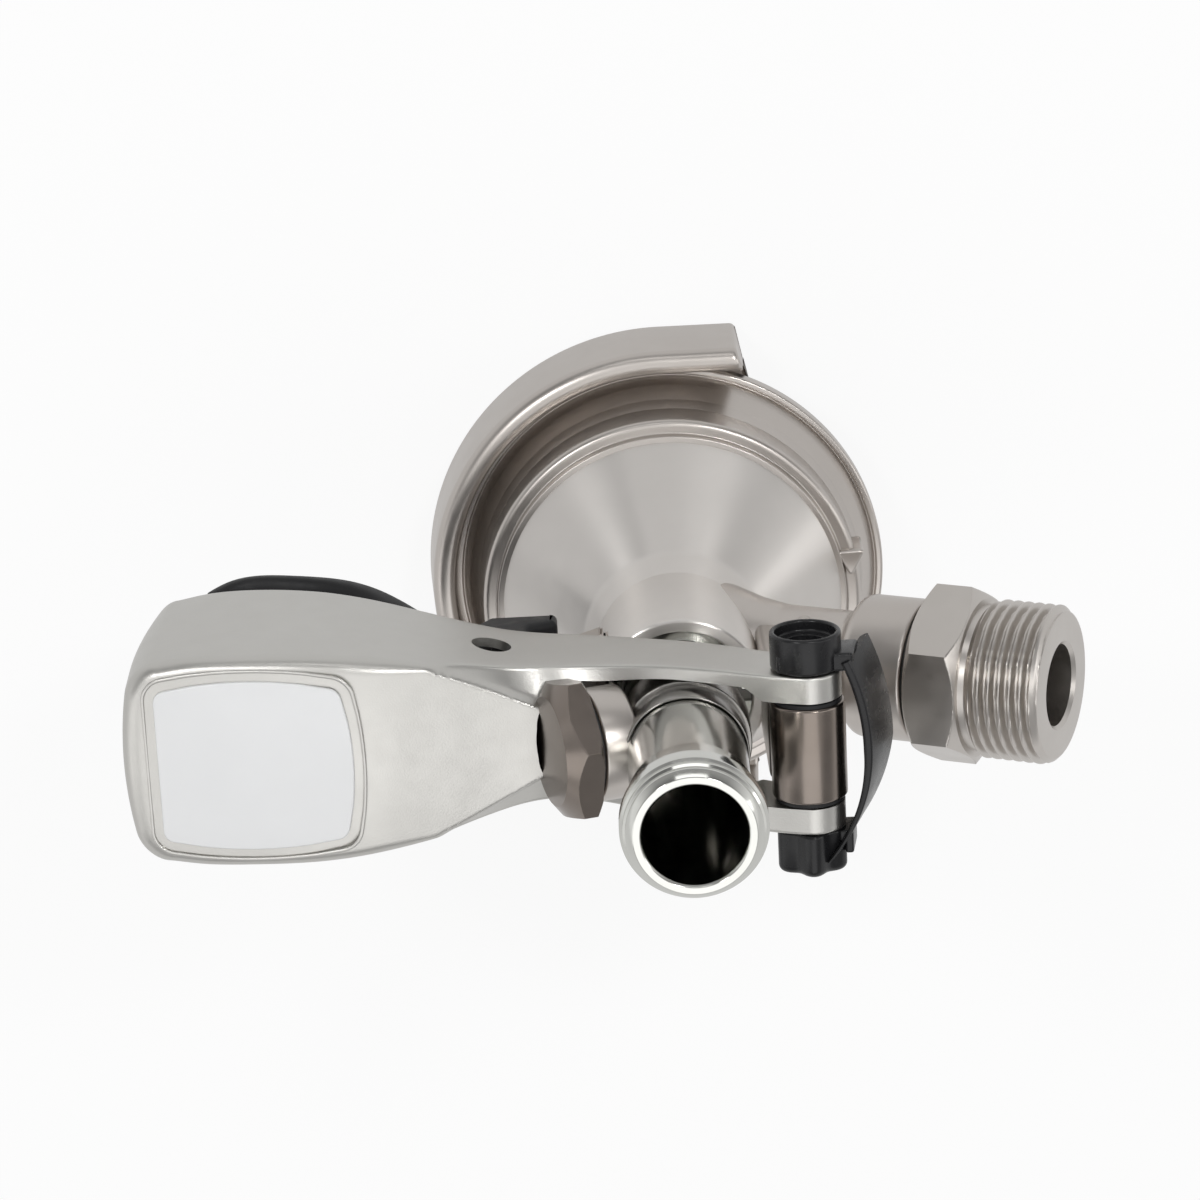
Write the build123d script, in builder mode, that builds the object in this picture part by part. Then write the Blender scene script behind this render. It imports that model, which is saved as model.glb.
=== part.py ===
"""Lever keg coupler: horseshoe slide base, sliding probe, forked lever and inclined gas inlet.

The origin is on the probe axis at the base's bottom face. +Z is up along the beer outlet,
+X points to the lever hinge and the gas inlet, and the grip points to -X. Units are mm.
"""
import os
from math import cos, hypot, radians, sin, tan

from build123d import *

os.makedirs("parts", exist_ok=True)

# Clearances
run_fit = 0.05  # radial, for a pin or slide that turns or slides
free_gap = 0.3  # between pieces that move past each other
seat_gap = 0.1  # between fixed pieces that drop into a bore

# Slide base
skirt_r = 43.3
skirt_height = 16.0
skirt_draft = 4.0  # degrees
skirt_round = 2.6
rail_round = 1.2
skirt_end_x = 14.6  # where the horseshoe's two arms end
skirt_end_lean = 2.6
rail_width = 4.8  # the raised rail round the horseshoe
skirt_wall = 6.8  # outside the slot for the keg's flange
lip_reach = 5.5  # how far each lip goes in under the keg's flange
lip_thickness = 2.4
slot_top = 7.2
flange_margin = 5.0
flange_rim_z = 10.2
flange_lip = 1.2
gutter_z = 11.6  # foot of the rail's inner side

# Cone and neck
shoulder_margin = 10.0  # from the skirt's side to the shoulder's
shoulder_foot_z = 18.6
shoulder_z = 27.4
ridge_margin = 3.5
ridge_z = 28.4
neck_r = 13.85
cone_top_z = 52.0
neck_top_z = 78.0
neck_bore_r = 11.6
chamber_r = 17.0
chamber_top_z = 46.0
seal_seat_r = 21.5
seal_seat_depth = 4.6

# Beer tube and probe
tube_r = 9.56
tube_bore_r = 8.09
tube_top_z = 139.5
bead_r = 11.48
bead_share = 0.2  # of the tube's length above its lock ring
bead_band_r = 10.35
bead_band_share = 0.39
probe_tip_z = 1.2
head_r = 11.2
head_top_z = 27.0
tube_foot_z = 18.0
seat_r = 4.6
seat_z = 5.0
ball_r = 6.0
cage_thickness = 1.5
ball_lift = 3.6
probe_seal_margin = 0.8  # room inside the keg's seal
probe_seal_height = 4.4
keg_seal_proud = 1.0
keg_seal_bore_share = 0.66  # of its seat's radius
bush_length = 13.0
bush_top_z = 76.0
ring_thickness = 1.2

# Hinge and lever
hinge_x = 19.4
hinge_z = 102.8
hinge_pin_r = 3.0
boss_r = 6.04
boss_half = 8.0
bush_wall = 1.1
bush_flange = 0.6
nose_inner = 8.9
nose_r = 6.8
arm_outer = 13.2
arm_wall = 2.2
nose_start_x = 9.5
lever_turn = 45.0  # degrees from the closed rest position to fully raised
fork_end_x = -28.0
fork_corner_r = 8.0
grip_half_width = 17.8
grip_end_x = -90.5
handle_wall = 2.4
top_wall = 3.0
handle_round = 1.0

# Drive from the arms to the probe
drive_pin_r = 3.0
drive_slack = 0.4
collar_r = 10.6
collar_height = 9.0
lock_ring_height = 5.6

# Label
label_x = -69.8
label_proud = 0.45
deck_z = 99.45  # height of the grip's flat top at the label's middle
label_slope = 5.1  # degrees
label_length = 30.0
label_width = 25.2
label_bulge = 1.6
label_thickness = 0.9

# Trigger
trigger_pin_x = -30.7
trigger_pin_z = 82.0
trigger_pin_r = 2.2
trigger_half = 8.6
paddle_half = 14.4
hook_half = 6.0
hub_r = 5.4
catch_gap = 0.6
spring_wire_r = 0.45
spring_turns = 5
spring_pitch = 1.1

# Pin keeper
cap_r = 5.8
cap_floor = 1.2
cap_length = 6.0
cap_wall = 1.1
knob_r = 5.7
knob_length = 5.8
knob_lobes = 5
strap_reach_x = 29.3
strap_lean = 3.0
strap_width = 8.6
strap_thickness = 1.1
strap_top_z = 107.2

# Gas inlet
gas_tilt = 26.0  # degrees above level
gas_root_z = 50.1
gas_port_r = 5.4
waist_r = 8.8
barrel_r = 12.0
barrel_start = 34.0
barrel_end = 43.4
barrel_round = 3.0
washer_thickness = 1.0
hex_flats = 27.0
hex_length = 9.2
thread_r = 13.22  # G 3/4 major radius
thread_relief_r = 12.1
relief_length = 1.6
nipple_end = 69.3
nipple_bore_r = 6.8
shank_r = 8.9
shank_length = 5.8
check_flange_r = 7.6
check_flange_thickness = 1.5
check_r = 4.9
check_length = 8.0
insert_length = 3.0

# Side plug
plug_tilt = 18.0  # degrees above level
plug_end_x = -21.9
plug_end_z = 99.7
plug_flats = 20.0
plug_hex_length = 5.6
plug_boss_r = 9.2
plug_shank_r = 5.0
plug_shank_length = 3.4
web_half = 7.6

# Places worked out from the sizes above
hinge_plane = Plane.XZ
drive_angle = lever_turn / 2
drive_z = hinge_z - hinge_x * tan(radians(drive_angle))
probe_lift = 2 * hinge_x * tan(radians(drive_angle))
collar_bottom_z = drive_z - collar_height / 2
collar_top_z = drive_z + collar_height / 2
arm_inner = arm_outer - arm_wall
sweep_r = collar_r + free_gap + 0.3
pin_half = arm_outer + free_gap + cap_floor + 0.9
cap_start = arm_outer + free_gap
label_z = deck_z + label_proud - label_thickness
rail_r = skirt_r - rail_width
slot_half_width = skirt_r - skirt_wall
lip_half_width = slot_half_width - lip_reach
flange_r = skirt_r - flange_margin
shoulder_r = skirt_r - shoulder_margin
ridge_r = shoulder_r - ridge_margin
keg_seal_bore_r = keg_seal_bore_share * seal_seat_r
probe_seal_r = keg_seal_bore_r - probe_seal_margin
neck_foot_z = cone_top_z + 4.0
free_tube = tube_top_z - collar_top_z - lock_ring_height
bead_height = bead_share * free_tube
bead_band_z = tube_top_z - bead_band_share * free_tube


def gas_plane(distance):
    """Plane square to the gas inlet's axis, at a distance along it from the probe axis."""
    slope = radians(gas_tilt)
    origin = (distance * cos(slope), 0, gas_root_z + distance * sin(slope))
    return Plane(origin=origin, x_dir=(0, 1, 0), z_dir=(cos(slope), 0, sin(slope)))


def plug_plane(depth):
    """Plane square to the side plug's axis, at a depth inward from the plug's outer end."""
    slope = radians(plug_tilt)
    origin = (plug_end_x + depth * cos(slope), 0, plug_end_z - depth * sin(slope))
    return Plane(origin=origin, x_dir=(0, 1, 0), z_dir=(-cos(slope), 0, sin(slope)))


def side_plane(y):
    """Plane facing +Y at the height and place given by its local X and Z."""
    return Plane(origin=(0, y, 0), x_dir=(-1, 0, 0), z_dir=(0, 1, 0))


def rings(part, radius, height):
    """Circular edges about the probe axis with this radius, at this height."""
    found = part.edges().filter_by(GeomType.CIRCLE)
    found = found.filter_by(lambda edge: abs(edge.radius - radius) < 0.02)
    return found.filter_by(lambda edge: abs(edge.arc_center.Z - height) < 0.02)


# Body: slide base, cone, neck and bosses in one casting
neck_angle = radians(58)
with BuildPart() as body:
    with BuildSketch(Plane.XY) as skirt_plan:
        Circle(skirt_r)
        with Locations((skirt_end_x / 2, 0)):
            Rectangle(skirt_end_x, 2 * skirt_r)
        with Locations((skirt_end_x + skirt_r, 0)):
            Rectangle(2 * skirt_r, 3 * skirt_r, mode=Mode.SUBTRACT)
    extrude(amount=skirt_height, taper=skirt_draft)
    fillet(body.faces().sort_by(Axis.Z)[-1].edges(), skirt_round)
    with BuildSketch(Plane.XY.offset(gutter_z)) as gutter_plan:
        Circle(rail_r)
        with Locations((skirt_r, 0)):
            Rectangle(2 * skirt_r, 2 * rail_r)
    extrude(amount=skirt_height - gutter_z + 1, mode=Mode.SUBTRACT)
    rail_edges = body.faces().sort_by(Axis.Z)[-1].edges()
    fillet(rail_edges.filter_by(lambda edge: edge.bounding_box().size.Y < 2 * rail_r + 0.1), rail_round)
    with BuildSketch(Plane.XZ) as end_lean:
        with BuildLine():
            Polyline(
                (skirt_end_x, 0),
                (skirt_end_x - skirt_end_lean, shoulder_foot_z),
                (skirt_end_x + 5, shoulder_foot_z),
                (skirt_end_x + 5, 0),
                close=True,
            )
        make_face()
    extrude(amount=2 * skirt_r, both=True, mode=Mode.SUBTRACT)
    with BuildSketch(Plane.XZ) as cone_section:
        with BuildLine():
            Polyline(
                (0, 0.5 * slot_top),
                (flange_r, 0.5 * slot_top),
                (flange_r, flange_rim_z),
                (flange_r - flange_lip, flange_rim_z),
                (flange_r - flange_lip - 0.4, flange_rim_z - 0.5),
                (shoulder_r + 2.6, gutter_z + 1.4),
                (shoulder_r + 0.9, shoulder_foot_z - 2.2),
                (shoulder_r, shoulder_foot_z),
                (shoulder_r, shoulder_z),
                (ridge_r + 1.2, shoulder_z),
                (ridge_r + 0.8, ridge_z),
                (ridge_r, ridge_z),
                (neck_r + 1.4, cone_top_z),
                (neck_r, neck_foot_z),
                (neck_r, neck_top_z),
                (0, neck_top_z),
                close=True,
            )
        make_face()
    revolve(axis=Axis.Z)
    fillet(rings(body, shoulder_r, shoulder_z), 1.0)
    chamfer(rings(body, neck_r, neck_top_z), 0.5)
    with BuildSketch(gas_plane(6)) as waist_plan:
        Circle(waist_r)
    extrude(amount=barrel_start + barrel_round - 6)
    with BuildSketch(gas_plane(barrel_start)) as barrel_plan:
        Circle(barrel_r)
    extrude(amount=barrel_end - barrel_start)
    barrel_edges = body.edges().filter_by(GeomType.CIRCLE)
    barrel_edges = barrel_edges.filter_by(lambda edge: abs(edge.radius - barrel_r) < 0.02)
    fillet(barrel_edges.sort_by(Axis.X)[:1], barrel_round)
    chamfer(barrel_edges.sort_by(Axis.X)[-1:], 0.6)
    with BuildSketch(hinge_plane) as lug_side:
        with BuildLine():
            Polyline(
                (neck_r - 0.6, 62),
                (neck_r - 0.2, hinge_z - 4),
                (hinge_x, hinge_z),
                (hinge_x + boss_r - 0.8, hinge_z),
                (hinge_x + boss_r - 0.8, 68),
                (hinge_x + 2, neck_foot_z),
                close=True,
            )
        make_face()
    extrude(amount=boss_half - 1.2, both=True)
    with BuildSketch(hinge_plane) as boss_side:
        with Locations((hinge_x, hinge_z)):
            Circle(boss_r)
    extrude(amount=boss_half, both=True)
    with BuildSketch(hinge_plane) as web_side:
        with BuildLine():
            Polyline(
                (-neck_r - 3.2, plug_end_z - 12),
                (-neck_r - 1.6, plug_end_z - 2),
                (-neck_bore_r + 1, plug_end_z - 2),
                (-neck_bore_r + 1, 60),
                (-neck_r, 66),
                close=True,
            )
        make_face()
    extrude(amount=web_half, both=True)
    with BuildSketch(plug_plane(plug_hex_length + washer_thickness)) as plug_boss_plan:
        Circle(plug_boss_r)
    extrude(amount=-7)
    with BuildSketch(hinge_plane) as catch_side:
        with BuildLine():
            Polyline(
                (-neck_r + 1, neck_foot_z),
                (-neck_r - 5.6, neck_foot_z + 6),
                (-neck_r - 5.6, neck_foot_z + 10),
                (-neck_r + 1, neck_foot_z + 15),
                close=True,
            )
        make_face()
    extrude(amount=hook_half, both=True)
    with BuildSketch(plug_plane(plug_hex_length + washer_thickness)) as plug_seat:
        Circle(plug_boss_r + 4)
    extrude(amount=12, mode=Mode.SUBTRACT)
    # Bores, from the keg side up
    with BuildSketch(Plane.XZ) as bore_section:
        with BuildLine():
            Polyline(
                (0, -1),
                (seal_seat_r, -1),
                (seal_seat_r, slot_top + seal_seat_depth),
                (chamber_r, slot_top + seal_seat_depth),
                (chamber_r, 20),
                (neck_bore_r + 0.9, chamber_top_z),
                (neck_bore_r, chamber_top_z + 1),
                (neck_bore_r, neck_top_z),
                (sweep_r, neck_top_z),
                (sweep_r, tube_top_z),
                (0, tube_top_z),
                close=True,
            )
        make_face()
    revolve(axis=Axis.Z, mode=Mode.SUBTRACT)
    with BuildSketch(Plane.XY.offset(lip_thickness)) as slot_plan:
        Circle(slot_half_width)
        with Locations((skirt_r, 0)):
            Rectangle(2 * skirt_r, 2 * slot_half_width)
    extrude(amount=slot_top - lip_thickness, mode=Mode.SUBTRACT)
    with BuildSketch(Plane.XY) as lip_plan:
        Circle(lip_half_width)
        with Locations((skirt_r, 0)):
            Rectangle(2 * skirt_r, 2 * lip_half_width)
    extrude(amount=lip_thickness, mode=Mode.SUBTRACT)
    with BuildSketch(gas_plane(0)) as port_plan:
        Circle(gas_port_r)
    extrude(amount=barrel_end, mode=Mode.SUBTRACT)
    with BuildSketch(gas_plane(barrel_end - shank_length - seat_gap)) as shank_plan:
        Circle(shank_r + run_fit)
    extrude(amount=shank_length + 1, mode=Mode.SUBTRACT)
    with BuildSketch(gas_plane(barrel_end - shank_length - check_flange_thickness - seat_gap)) as flange_plan:
        Circle(check_flange_r + seat_gap)
    extrude(amount=check_flange_thickness + 1, mode=Mode.SUBTRACT)
    with BuildSketch(hinge_plane) as boss_bore:
        with Locations((hinge_x, hinge_z)):
            Circle(hinge_pin_r + run_fit + bush_wall + run_fit)
    extrude(amount=boss_half, both=True, mode=Mode.SUBTRACT)
    with BuildSketch(plug_plane(plug_hex_length)) as plug_bore:
        Circle(plug_shank_r + run_fit)
    extrude(amount=-plug_shank_length - washer_thickness - 0.4, mode=Mode.SUBTRACT)
body.part.label = "body"
export_step(body.part, "parts/body.step")

# Rubber ring that seals on the keg's valve
with BuildPart() as keg_seal:
    with BuildSketch(Plane.XY.offset(slot_top - keg_seal_proud)):
        Circle(seal_seat_r - seat_gap)
        Circle(keg_seal_bore_r, mode=Mode.SUBTRACT)
    extrude(amount=seal_seat_depth + keg_seal_proud)
    fillet(keg_seal.faces().sort_by(Axis.Z)[0].edges(), 0.8)
keg_seal.part.label = "keg_seal"
export_step(keg_seal.part, "parts/keg_seal.step")

# Beer outlet tube with its stepped bead
with BuildPart() as probe_tube:
    with BuildSketch(Plane.XZ):
        with BuildLine():
            Polyline(
                (tube_bore_r, tube_foot_z),
                (tube_r, tube_foot_z),
                (tube_r, bead_band_z),
                (bead_band_r, bead_band_z + 0.1 * bead_height),
                (bead_band_r, tube_top_z - bead_height),
                (bead_r, tube_top_z - 0.9 * bead_height),
                (bead_r, tube_top_z - 0.49 * bead_height),
                (bead_r - 0.45, tube_top_z - 0.42 * bead_height),
                (bead_r - 0.45, tube_top_z - 0.34 * bead_height),
                (bead_r - 0.9, tube_top_z - 0.26 * bead_height),
                (bead_r - 0.9, tube_top_z - 0.18 * bead_height),
                (tube_r - 0.1, tube_top_z),
                (tube_bore_r + 0.25, tube_top_z),
                (tube_bore_r, tube_top_z - 0.04 * bead_height),
                close=True,
            )
        make_face()
    revolve(axis=Axis.Z)
probe_tube.part.label = "probe_tube"
export_step(probe_tube.part, "parts/probe_tube.step")

# Lower end of the probe, with the ball's seat
seal_groove_z = seat_z + 0.2
with BuildPart() as probe_head:
    with BuildSketch(Plane.XZ):
        with BuildLine():
            Polyline(
                (seat_r, probe_tip_z),
                (head_r - 2.4, probe_tip_z),
                (head_r, probe_tip_z + 2.4),
                (head_r, seal_groove_z),
                (head_r - 1.8, seal_groove_z),
                (head_r - 1.8, seal_groove_z + probe_seal_height),
                (head_r, seal_groove_z + probe_seal_height),
                (head_r, head_top_z - 1),
                (head_r - 1, head_top_z),
                (tube_r + run_fit, head_top_z),
                (tube_r + run_fit, tube_foot_z),
                (tube_bore_r, tube_foot_z),
                (tube_bore_r, seat_z + tube_bore_r - seat_r),
                (seat_r, seat_z),
                close=True,
            )
        make_face()
    revolve(axis=Axis.Z)
probe_head.part.label = "probe_head"
export_step(probe_head.part, "parts/probe_head.step")

# Rubber ring in the probe head's groove
with BuildPart() as probe_seal:
    with BuildSketch(Plane.XY.offset(seal_groove_z + seat_gap)):
        Circle(probe_seal_r)
        Circle(head_r - 1.8 + run_fit, mode=Mode.SUBTRACT)
    extrude(amount=probe_seal_height - 2 * seat_gap)
    fillet(rings(probe_seal, probe_seal_r, seal_groove_z + seat_gap), 1.2)
probe_seal.part.label = "probe_seal"
export_step(probe_seal.part, "parts/probe_seal.step")

# Ball that stops beer running back, a little off its seat's edge
ball_z = seat_z + (ball_r**2 - seat_r**2) ** 0.5 + seat_gap
with BuildPart() as check_ball:
    with Locations((0, 0, ball_z)):
        Sphere(ball_r)
check_ball.part.label = "check_ball"
export_step(check_ball.part, "parts/check_ball.step")

# Spider that keeps the ball in the probe
cage_z = ball_z + ball_r + ball_lift + free_gap
with BuildPart() as ball_cage:
    with BuildSketch(Plane.XY.offset(cage_z)):
        Circle(tube_bore_r - run_fit)
        Circle(tube_bore_r - 1.6, mode=Mode.SUBTRACT)
        with PolarLocations(0, 3):
            Rectangle(tube_bore_r - 0.8, 1.6, align=(Align.MIN, Align.CENTER))
        Circle(1.6)
    extrude(amount=cage_thickness)
ball_cage.part.label = "ball_cage"
export_step(ball_cage.part, "parts/ball_cage.step")

# Sliding bush in the neck, with a groove for its rubber ring
bush_foot_z = bush_top_z - bush_length
ring_groove_z = bush_foot_z + 3.0
neck_seal_r = 0.9
with BuildPart() as guide_bush:
    with BuildSketch(Plane.XZ):
        with BuildLine():
            Polyline(
                (tube_r + run_fit, bush_foot_z),
                (neck_bore_r - run_fit, bush_foot_z),
                (neck_bore_r - run_fit, bush_top_z),
                (tube_r + run_fit, bush_top_z),
                (tube_r + run_fit, ring_groove_z + 2 * neck_seal_r + 0.2),
                (tube_r + 1.2, ring_groove_z + 2 * neck_seal_r + 0.2),
                (tube_r + 1.2, ring_groove_z),
                (tube_r + run_fit, ring_groove_z),
                close=True,
            )
        make_face()
    revolve(axis=Axis.Z)
guide_bush.part.label = "guide_bush"
export_step(guide_bush.part, "parts/guide_bush.step")

# Rubber ring in the bush
with BuildPart() as neck_seal:
    with BuildSketch(Plane.XZ):
        with Locations((tube_r + 0.62, ring_groove_z + neck_seal_r + 0.1)):
            Ellipse(0.5, neck_seal_r)
    revolve(axis=Axis.Z)
neck_seal.part.label = "neck_seal"
export_step(neck_seal.part, "parts/neck_seal.step")

# Ring that keeps the bush in the neck
with BuildPart() as neck_ring:
    with BuildSketch(Plane.XY.offset(bush_top_z + seat_gap)):
        Circle(neck_bore_r - run_fit)
        Circle(tube_r + 0.5, mode=Mode.SUBTRACT)
        with Locations((tube_r + 1.2, 0)):
            Rectangle(4, 2.2, mode=Mode.SUBTRACT)
    extrude(amount=ring_thickness)
neck_ring.part.label = "neck_ring"
export_step(neck_ring.part, "parts/neck_ring.step")

# Drive collar clamped on the tube, bored for its two pins
with BuildPart() as drive_collar:
    with BuildSketch(Plane.XY.offset(collar_bottom_z)):
        Circle(collar_r)
        Circle(tube_r + run_fit, mode=Mode.SUBTRACT)
    extrude(amount=collar_height)
    chamfer(rings(drive_collar, collar_r, collar_bottom_z), 0.4)
    with BuildSketch(Plane.XZ):
        with Locations((0, drive_z)):
            Circle(drive_pin_r - 0.8 + run_fit)
    extrude(amount=collar_r + 1, both=True, mode=Mode.SUBTRACT)
drive_collar.part.label = "drive_collar"
export_step(drive_collar.part, "parts/drive_collar.step")

# Two drive pins, each with a small foot in the collar and a head in an arm's slot
head_start = (collar_r**2 - drive_pin_r**2) ** 0.5 + 0.75
with BuildPart() as drive_pins:
    for side in (1, -1):
        with BuildSketch(Plane.XZ.offset(-side * (tube_r + run_fit))):
            with Locations((0, drive_z)):
                Circle(drive_pin_r - 0.8)
        extrude(amount=-side * (head_start - tube_r))
        with BuildSketch(Plane.XZ.offset(-side * head_start)):
            with Locations((0, drive_z)):
                Circle(drive_pin_r)
        extrude(amount=-side * (arm_outer - head_start))
drive_pins.part.label = "drive_pins"
export_step(drive_pins.part, "parts/drive_pins.step")

# Ring above the collar
with BuildPart() as collar_lock_ring:
    with BuildSketch(Plane.XY.offset(collar_top_z)):
        Circle(collar_r)
        Circle(tube_r + run_fit, mode=Mode.SUBTRACT)
    extrude(amount=lock_ring_height)
    chamfer(rings(collar_lock_ring, collar_r, collar_top_z + lock_ring_height), 0.7)
    with PolarLocations(collar_r, 4, 45):
        Box(1.0, 2.6, 2 * collar_top_z + 2 * lock_ring_height, mode=Mode.SUBTRACT)
collar_lock_ring.part.label = "collar_lock_ring"
export_step(collar_lock_ring.part, "parts/collar_lock_ring.step")


def handle_side(inset):
    """Draw the lever's side outline, with its top lowered and its end moved in by the inset."""
    top_nose = (hinge_x - 1.4, hinge_z + nose_r - inset)
    top = Spline(
        top_nose,
        (hinge_x - 20, hinge_z - inset),
        (hinge_x - 38, hinge_z - 6.2 - inset),
        (fork_end_x - 4, deck_z - 4.0 - inset),
        (label_x + label_length / 2 + 4.5, deck_z + 1.5 - inset),
        tangents=((-1, -0.18), (-1, 0.12)),
    )
    end_top = (grip_end_x + 4.5 + inset, deck_z - 1.5 - inset)
    deck = Line(top @ 1, end_top)
    heel = Spline(end_top, (grip_end_x + inset, 91.5), (grip_end_x + 2.2 + inset, 76), (grip_end_x + 6 + inset, 67))
    return top, deck, heel


with BuildPart() as handle_hollow:
    with BuildSketch(Plane.XZ):
        with BuildLine():
            hollow_top, hollow_deck, hollow_heel = handle_side(top_wall)
            Polyline(hollow_heel @ 1, (grip_end_x + 9, 40), (60, 40), (60, hinge_z + nose_r), hollow_top @ 0)
        make_face()
    extrude(amount=2 * grip_half_width, both=True)
    with BuildSketch(Plane.XY.offset(30)):
        with BuildLine():
            flank = Spline(
                (fork_end_x, arm_inner),
                (-41, 14.9 - handle_wall),
                (-52, 16.8 - handle_wall),
                (-72, grip_half_width - handle_wall),
                (grip_end_x + 7, grip_half_width - 1.2 - handle_wall),
                tangents=((-1, 0), (-1, -0.16)),
            )
            Line((nose_start_x, arm_inner), flank @ 0)
            Polyline(flank @ 1, (grip_end_x + handle_wall, 12), (grip_end_x + handle_wall, 0))
            Polyline(
                (nose_start_x, arm_inner),
                (nose_start_x + 3, nose_inner),
                (60, nose_inner),
                (60, 0),
                (grip_end_x + handle_wall, 0),
            )
        make_face()
        mirror(about=Plane.XZ)
    extrude(amount=100, mode=Mode.INTERSECT)

with BuildPart() as handle:
    with BuildSketch(Plane.XZ) as side_outline:
        with BuildLine():
            side_top, side_deck, side_heel = handle_side(0)
            foot = Spline(
                side_heel @ 1,
                (-76, 65.4),
                (-60, 67.0),
                (-46, 71.0),
                (-30, 75.6),
                (-13, 80.2),
                (hinge_x - 1, hinge_z - nose_r - 0.6),
            )
            Polyline(foot @ 1, (hinge_x, hinge_z - nose_r), (hinge_x, hinge_z + nose_r), side_top @ 0)
        make_face()
        with Locations((hinge_x, hinge_z)):
            Circle(nose_r)
    extrude(amount=2 * grip_half_width, both=True)
    with BuildSketch(Plane.XY.offset(30)) as plan_outline:
        with BuildLine():
            grip_flank = Spline(
                (fork_end_x, arm_outer),
                (-41, 14.9),
                (-52, 16.8),
                (-72, grip_half_width),
                (grip_end_x + 5, grip_half_width - 1.2),
                tangents=((-1, 0), (-1, -0.16)),
            )
            Polyline(grip_flank @ 0, (60, arm_outer), (60, 0), (grip_end_x, 0), (grip_end_x, 13))
            ThreePointArc(grip_flank @ 1, (grip_end_x + 1.3, grip_half_width - 2.6), (grip_end_x, 13))
        make_face()
        mirror(about=Plane.XZ)
    extrude(amount=100, mode=Mode.INTERSECT)
    top_edges = handle.faces().filter_by(lambda face: face.normal_at().Z > 0.8).edges()
    top_edges = top_edges.filter_by(lambda edge: edge.length > 18 and abs(edge.center().Y) > 10)
    fillet(top_edges, handle_round)
    add(handle_hollow.part, mode=Mode.SUBTRACT)
    with BuildSketch(Plane.XY.offset(70)) as fork_plan:
        fork_length = 60 - fork_end_x
        with Locations((fork_end_x + fork_length / 2, 0)):
            RectangleRounded(fork_length, 2 * arm_inner, fork_corner_r)
        with Locations((nose_start_x + 30 + 1.5, 0)):
            with Locations((0, nose_inner + 5), (0, -nose_inner - 5)):
                Rectangle(60, 10, mode=Mode.SUBTRACT)
    extrude(amount=60, mode=Mode.SUBTRACT)
    with BuildSketch(hinge_plane) as nose_bore:
        with Locations((hinge_x, hinge_z)):
            Circle(hinge_pin_r + run_fit)
    extrude(amount=2 * arm_outer, both=True, mode=Mode.SUBTRACT)
    with BuildSketch(hinge_plane) as pin_bore:
        with Locations((trigger_pin_x, trigger_pin_z)):
            Circle(trigger_pin_r + run_fit)
    extrude(amount=2 * grip_half_width, both=True, mode=Mode.SUBTRACT)
    with BuildSketch(hinge_plane) as drive_slots:
        slot_middle = hinge_x - (hinge_x + hypot(hinge_x, hinge_z - drive_z)) / 2 * cos(radians(drive_angle))
        slot_middle_z = hinge_z - (hinge_x - slot_middle) * tan(radians(drive_angle))
        slot_run = hypot(hinge_x, hinge_z - drive_z) - hinge_x
        with Locations(Location((slot_middle, slot_middle_z), drive_angle)):
            SlotCenterToCenter(slot_run + drive_slack, 2 * (drive_pin_r + drive_slack))
    extrude(amount=2 * arm_outer, both=True, mode=Mode.SUBTRACT)
    label_plane = Plane(
        origin=(label_x, 0, label_z),
        x_dir=(cos(radians(label_slope)), 0, sin(radians(label_slope))),
        z_dir=(-sin(radians(label_slope)), 0, cos(radians(label_slope))),
    )
    with BuildSketch(label_plane) as label_recess:
        half_length = label_length / 2 + seat_gap
        half_width = label_width / 2 + seat_gap
        with BuildLine():
            ThreePointArc((-half_length, half_width), (0, half_width + label_bulge), (half_length, half_width))
            ThreePointArc((half_length, half_width), (half_length + label_bulge, 0), (half_length, -half_width))
            ThreePointArc((half_length, -half_width), (0, -half_width - label_bulge), (-half_length, -half_width))
            Line((-half_length, -half_width), (-half_length, half_width))
        make_face()
        fillet(label_recess.vertices(), 2.2)
    extrude(amount=10, mode=Mode.SUBTRACT)
handle.part.label = "handle"
export_step(handle.part, "parts/handle.step")

# Blank label plate in the handle's recess
with BuildPart() as label_plate:
    with BuildSketch(label_plane) as label_outline:
        half_length = label_length / 2
        half_width = label_width / 2
        with BuildLine():
            ThreePointArc((-half_length, half_width), (0, half_width + label_bulge), (half_length, half_width))
            ThreePointArc((half_length, half_width), (half_length + label_bulge, 0), (half_length, -half_width))
            ThreePointArc((half_length, -half_width), (0, -half_width - label_bulge), (-half_length, -half_width))
            Line((-half_length, -half_width), (-half_length, half_width))
        make_face()
        fillet(label_outline.vertices(), 2.2)
    extrude(amount=label_thickness)
    fillet(label_plate.faces().sort_by(Axis.Z)[-1].edges(), 0.3)
label_plate.part.label = "label_plate"
export_step(label_plate.part, "parts/label_plate.step")

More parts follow.
